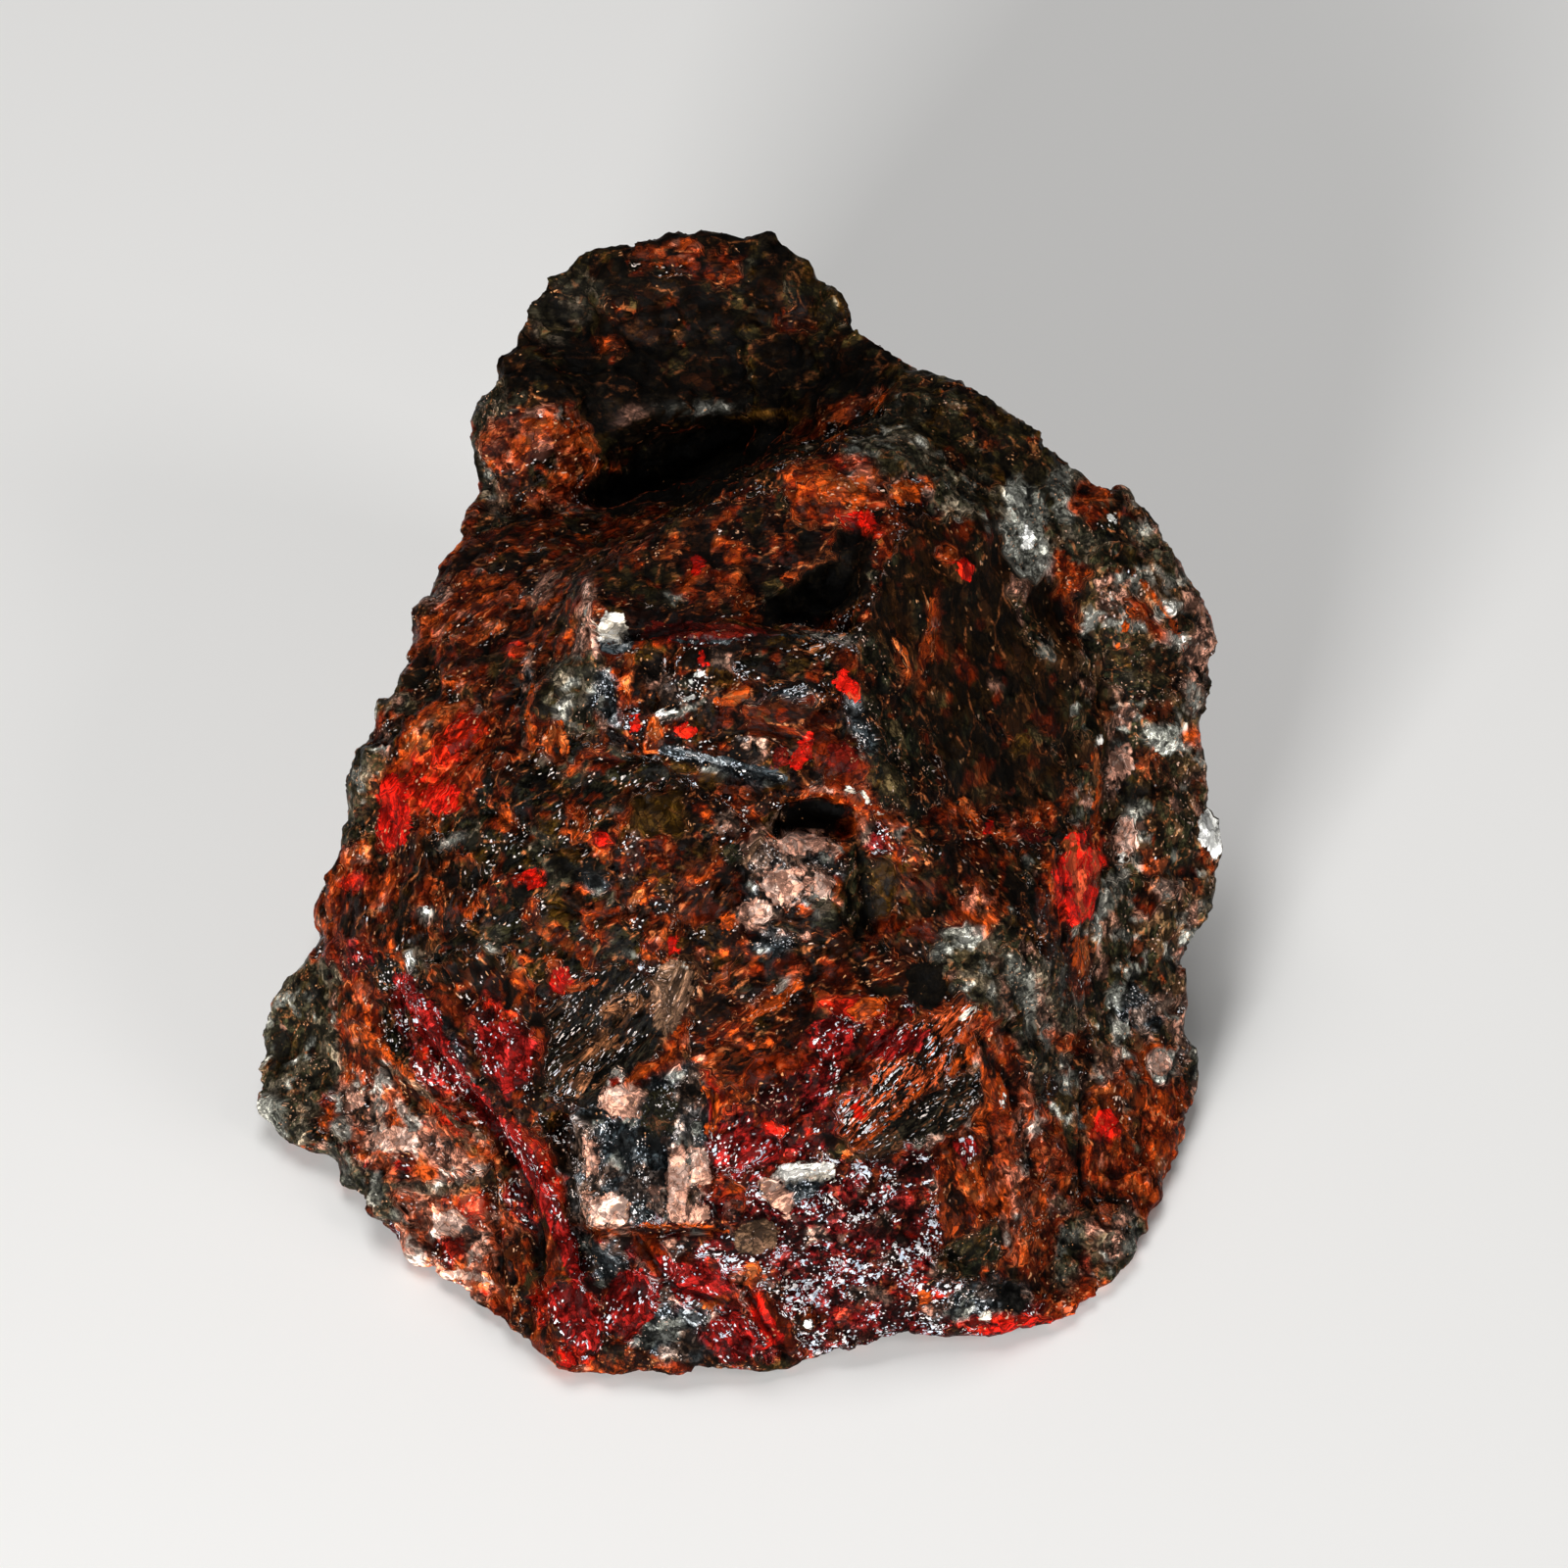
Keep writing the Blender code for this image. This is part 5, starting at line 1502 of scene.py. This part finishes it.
@dataclass
class StoneSurface:
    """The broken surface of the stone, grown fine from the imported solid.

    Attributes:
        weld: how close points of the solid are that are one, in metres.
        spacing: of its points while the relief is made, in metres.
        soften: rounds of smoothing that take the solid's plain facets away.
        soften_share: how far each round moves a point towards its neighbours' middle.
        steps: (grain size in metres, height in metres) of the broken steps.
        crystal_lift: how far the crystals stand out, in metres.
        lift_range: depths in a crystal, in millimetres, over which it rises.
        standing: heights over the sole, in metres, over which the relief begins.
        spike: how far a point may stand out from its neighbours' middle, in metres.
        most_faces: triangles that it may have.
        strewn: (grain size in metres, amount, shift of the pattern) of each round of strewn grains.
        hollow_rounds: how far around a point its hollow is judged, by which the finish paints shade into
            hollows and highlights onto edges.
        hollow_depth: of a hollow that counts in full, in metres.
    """

    weld: float = 1e-7
    spacing: float = 0.22 * MM
    soften: int = 6
    soften_share: float = 0.5
    steps: tuple[Pair, ...] = ((2.1 * MM, 0.22 * MM), (0.95 * MM, 0.15 * MM), (0.5 * MM, 0.08 * MM))
    crystal_lift: float = 0.10 * MM
    lift_range: Pair = (-0.12, 0.12)
    standing: Pair = (0.15 * MM, 0.8 * MM)
    spike: float = 0.10 * MM
    most_faces: int = 197000
    strewn: tuple[Triple, ...] = ((1.2 * MM, 1.0, 2.0), (0.6 * MM, 0.7, 6.0))
    hollow_rounds: int = 4
    hollow_depth: float = 0.30 * MM
    piece: bpy.types.Object = field(init=False)

    def build(self) -> bpy.types.Object:
        """Makes the piece and returns it."""
        self.piece = scene_object(PIECE, self._welded_copy(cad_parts[NODE]))
        take_shape(self.piece, "REMESH", mode="VOXEL", voxel_size=self.spacing)
        take_shape(self.piece, "SMOOTH", factor=self.soften_share, iterations=self.soften)
        self._roughen()
        faces = sum(len(face.vertices) - 2 for face in self.piece.data.polygons)
        take_shape(self.piece, "DECIMATE", ratio=min(1.0, self.most_faces / faces))
        self._dress()
        return self.piece

    def _welded_copy(self, node: bpy.types.Object) -> bpy.types.Mesh:
        """A copy of a node's mesh with its shared points joined."""
        form = bmesh.new()
        form.from_mesh(node.data)
        bmesh.ops.remove_doubles(form, verts=form.verts, dist=self.weld)
        mesh = bpy.data.meshes.new(PIECE)
        form.to_mesh(mesh)
        form.free()
        return mesh

    def _roughen(self) -> None:
        """Breaks the surface into steps, cuts the cracks, and carries the outline level to its place."""
        mesh = self.piece.data
        points, normals = vertex_array(mesh, "co"), vertex_array(mesh, "normal")
        painter = RockPainter(points, normals)
        height = np.zeros(len(points))
        for size, step in self.steps:
            height += grain_heights(points, size, size / MM) * step
        height *= painter.relief
        height += self.crystal_lift * smooth_step(*self.lift_range, painter.edge)
        places = BOARD.places(points)
        for crack in CRACKS:
            height -= crack.depth * MM * crack.closeness(places) * painter.front
        height *= smooth_step(*self.standing, points[:, 2])
        moved = self._filed(mesh, points + normals * height[:, None])
        places = BOARD.places(moved)
        moves = sum(push.moves(places) for push in PUSHES) * MM
        moved[:, 0] += moves[:, 0]
        moved[:, 1] += moves[:, 1] / math.sin(BOARD.lean)
        mesh.vertices.foreach_set("co", moved.astype(np.float32).ravel())
        mesh.update()

    def _filed(self, mesh: bpy.types.Mesh, points: np.ndarray) -> np.ndarray:
        """A mesh's points with its spikes filed down to the height that they may have."""
        gap = points - self._eased(mesh, points, 1)
        length = np.maximum(np.linalg.norm(gap, axis=1), TINY)
        return points - gap * np.maximum(1 - self.spike / length, 0)[:, None]

    def _dress(self) -> None:
        """Leaves what the painter makes of each point on the mesh, and gives it the finish."""
        mesh = self.piece.data
        mesh.shade_smooth()
        painter = RockPainter(vertex_array(mesh, "co"), vertex_array(mesh, "normal"))
        for size, amount, shift in self.strewn:
            painter.strew(size, amount, shift)
        for name in ("main", "fleck", "make", "guest", "guest_fleck", "guest_make"):
            values = getattr(painter, name)
            opaque = np.concatenate([values, np.ones((len(values), 1))], axis=1)
            keep_on_mesh(mesh, name, "FLOAT_COLOR", "color", opaque)
        keep_on_mesh(mesh, "grain", "FLOAT_VECTOR", "vector", painter.grain)
        keep_on_mesh(mesh, "roughness", "FLOAT", "value", painter.roughness)
        # How deep each point lies, by which the finish paints shade into hollows and highlights onto edges.
        keep_on_mesh(mesh, "hollow", "FLOAT", "value", self._hollows(mesh))
        keep_on_mesh(mesh, "edge", "FLOAT", "value", painter.edge)
        mesh.materials.clear()
        mesh.materials.append(RockFinish().material())

    def _hollows(self, mesh: bpy.types.Mesh) -> np.ndarray:
        """How deep each point lies among its neighbours: 0 on an edge, 0.5 on a flat and 1 in a hollow, for
        painted shade.
        """
        points = vertex_array(mesh, "co")
        gap = self._eased(mesh, points, self.hollow_rounds) - points
        depth = (gap * vertex_array(mesh, "normal")).sum(axis=1)
        return np.clip(0.5 + depth / self.hollow_depth, 0, 1)

    @staticmethod
    def _eased(mesh: bpy.types.Mesh, points: np.ndarray, rounds: int) -> np.ndarray:
        """Moves each of a mesh's points to the middle of its neighbours, as many rounds as wanted.

        Args:
            mesh: whose edges say which points are neighbours.
            points: one a row.
            rounds: of easing.

        Returns:
            The eased points.
        """
        ends = np.empty(len(mesh.edges) * 2, np.int64)
        mesh.edges.foreach_get("vertices", ends)
        ends = ends.reshape(-1, 2)
        ties = np.bincount(ends.ravel(), minlength=len(points))[:, None]
        for _ in range(rounds):
            total = np.zeros_like(points)
            np.add.at(total, ends[:, 0], points[ends[:, 1]])
            np.add.at(total, ends[:, 1], points[ends[:, 0]])
            points = total / np.maximum(ties, 1)
        return points


@dataclass
class Studio:
    """The pale floor, the soft lights and the camera.

    Attributes:
        floor_size: in metres.
        floor_colour: of the floor.
        floor_shade: brightness of its darker spots against the rest.
        floor_swings: of those spots.
        floor_roughness: of the floor.
        lights: each light's name, place in metres, size in metres and power in watts.
        sky_colour: of the room's faint light.
        sky_strength: of that light.
        sensor: width of the camera's sensor, in millimetres.
    """

    floor_size: float = 6.0
    floor_colour: Colour = (0.92, 0.91, 0.89)
    floor_shade: float = 0.97
    floor_swings: Pair = (3.0, 2.0)
    floor_roughness: float = 0.7
    lights: tuple[tuple[str, Triple, float, float], ...] = (
        ("key", (-0.17, -0.44, 0.13), 0.15, 3.4),
        ("side", (0.42, -0.16, 0.30), 0.18, 0.55),
        ("top", (-0.10, 0.30, 0.70), 0.45, 2.4),
    )
    sky_colour: Colour = (0.95, 0.97, 1.0)
    sky_strength: float = 0.08
    sensor: float = 36.0

    def build(self) -> None:
        """Makes the studio."""
        self._floor()
        for name, place, size, power in self.lights:
            self._light(name, place, size, power)
        self._sky()
        self._camera()

    def _floor(self) -> None:
        """The pale floor that the stone rests on."""
        bpy.ops.mesh.primitive_plane_add(size=self.floor_size)
        floor = bpy.context.object
        floor.name = "floor"
        book = NodeBook("pale_floor")
        scale, detail = self.floor_swings
        speck = book.node("ShaderNodeTexNoise", {}, {"Scale": scale, "Detail": detail})
        darker = [part * self.floor_shade for part in self.floor_colour]
        tone = book.mix(speck, (*self.floor_colour, 1), (*darker, 1))
        floor.data.materials.append(book.finish(Base_Color=tone, Roughness=self.floor_roughness))

    @staticmethod
    def _light(name: str, place: Triple, size: float, power: float) -> None:
        """Adds a square soft light that faces the stone.

        Args:
            name: of the light.
            place: in metres.
            size: of its side, in metres.
            power: in watts.
        """
        data = bpy.data.lights.new(name, "AREA")
        data.size = size
        data.energy = power
        light = scene_object(name, data)
        light.location = place
        aim = Vector(BOARD.middle) - light.location
        light.rotation_mode = "QUATERNION"
        light.rotation_quaternion = aim.to_track_quat("-Z", "Y")

    def _sky(self) -> None:
        """The faint light of the room."""
        world = bpy.data.worlds.new("room")
        bpy.context.scene.world = world
        world.use_nodes = True
        background = world.node_tree.nodes["Background"]
        background.inputs["Color"].default_value = (*self.sky_colour, 1)
        background.inputs["Strength"].default_value = self.sky_strength

    def _camera(self) -> None:
        """The camera, where the draughtsman's eye is."""
        data = bpy.data.cameras.new("camera")
        data.sensor_width = self.sensor
        data.lens = data.sensor_width * BOARD.eye_distance / BOARD.picture_width
        camera = scene_object("camera", data)
        turned = Matrix((BOARD.across, BOARD.upward, BOARD.toward)).transposed()
        camera.matrix_world = Matrix.Translation(BOARD.eye) @ turned.to_4x4()
        bpy.context.scene.camera = camera
        bpy.context.scene.view_settings.view_transform = "Standard"


def join_frame(piece: bpy.types.Object) -> None:
    """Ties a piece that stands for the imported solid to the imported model."""
    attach(piece, BODY)
    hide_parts(NODE)


def write_sizes() -> None:
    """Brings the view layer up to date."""
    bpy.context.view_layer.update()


def main() -> None:
    """Builds the dressed stone and the studio, and reports each piece."""
    logging.basicConfig(level=logging.INFO, format="%(message)s")
    surface = StoneSurface().build()
    join_frame(surface)
    LOG.info("%s: %d faces", surface.name, len(surface.data.polygons))
    Studio().build()
    write_sizes()


if __name__ == "__main__":
    main()
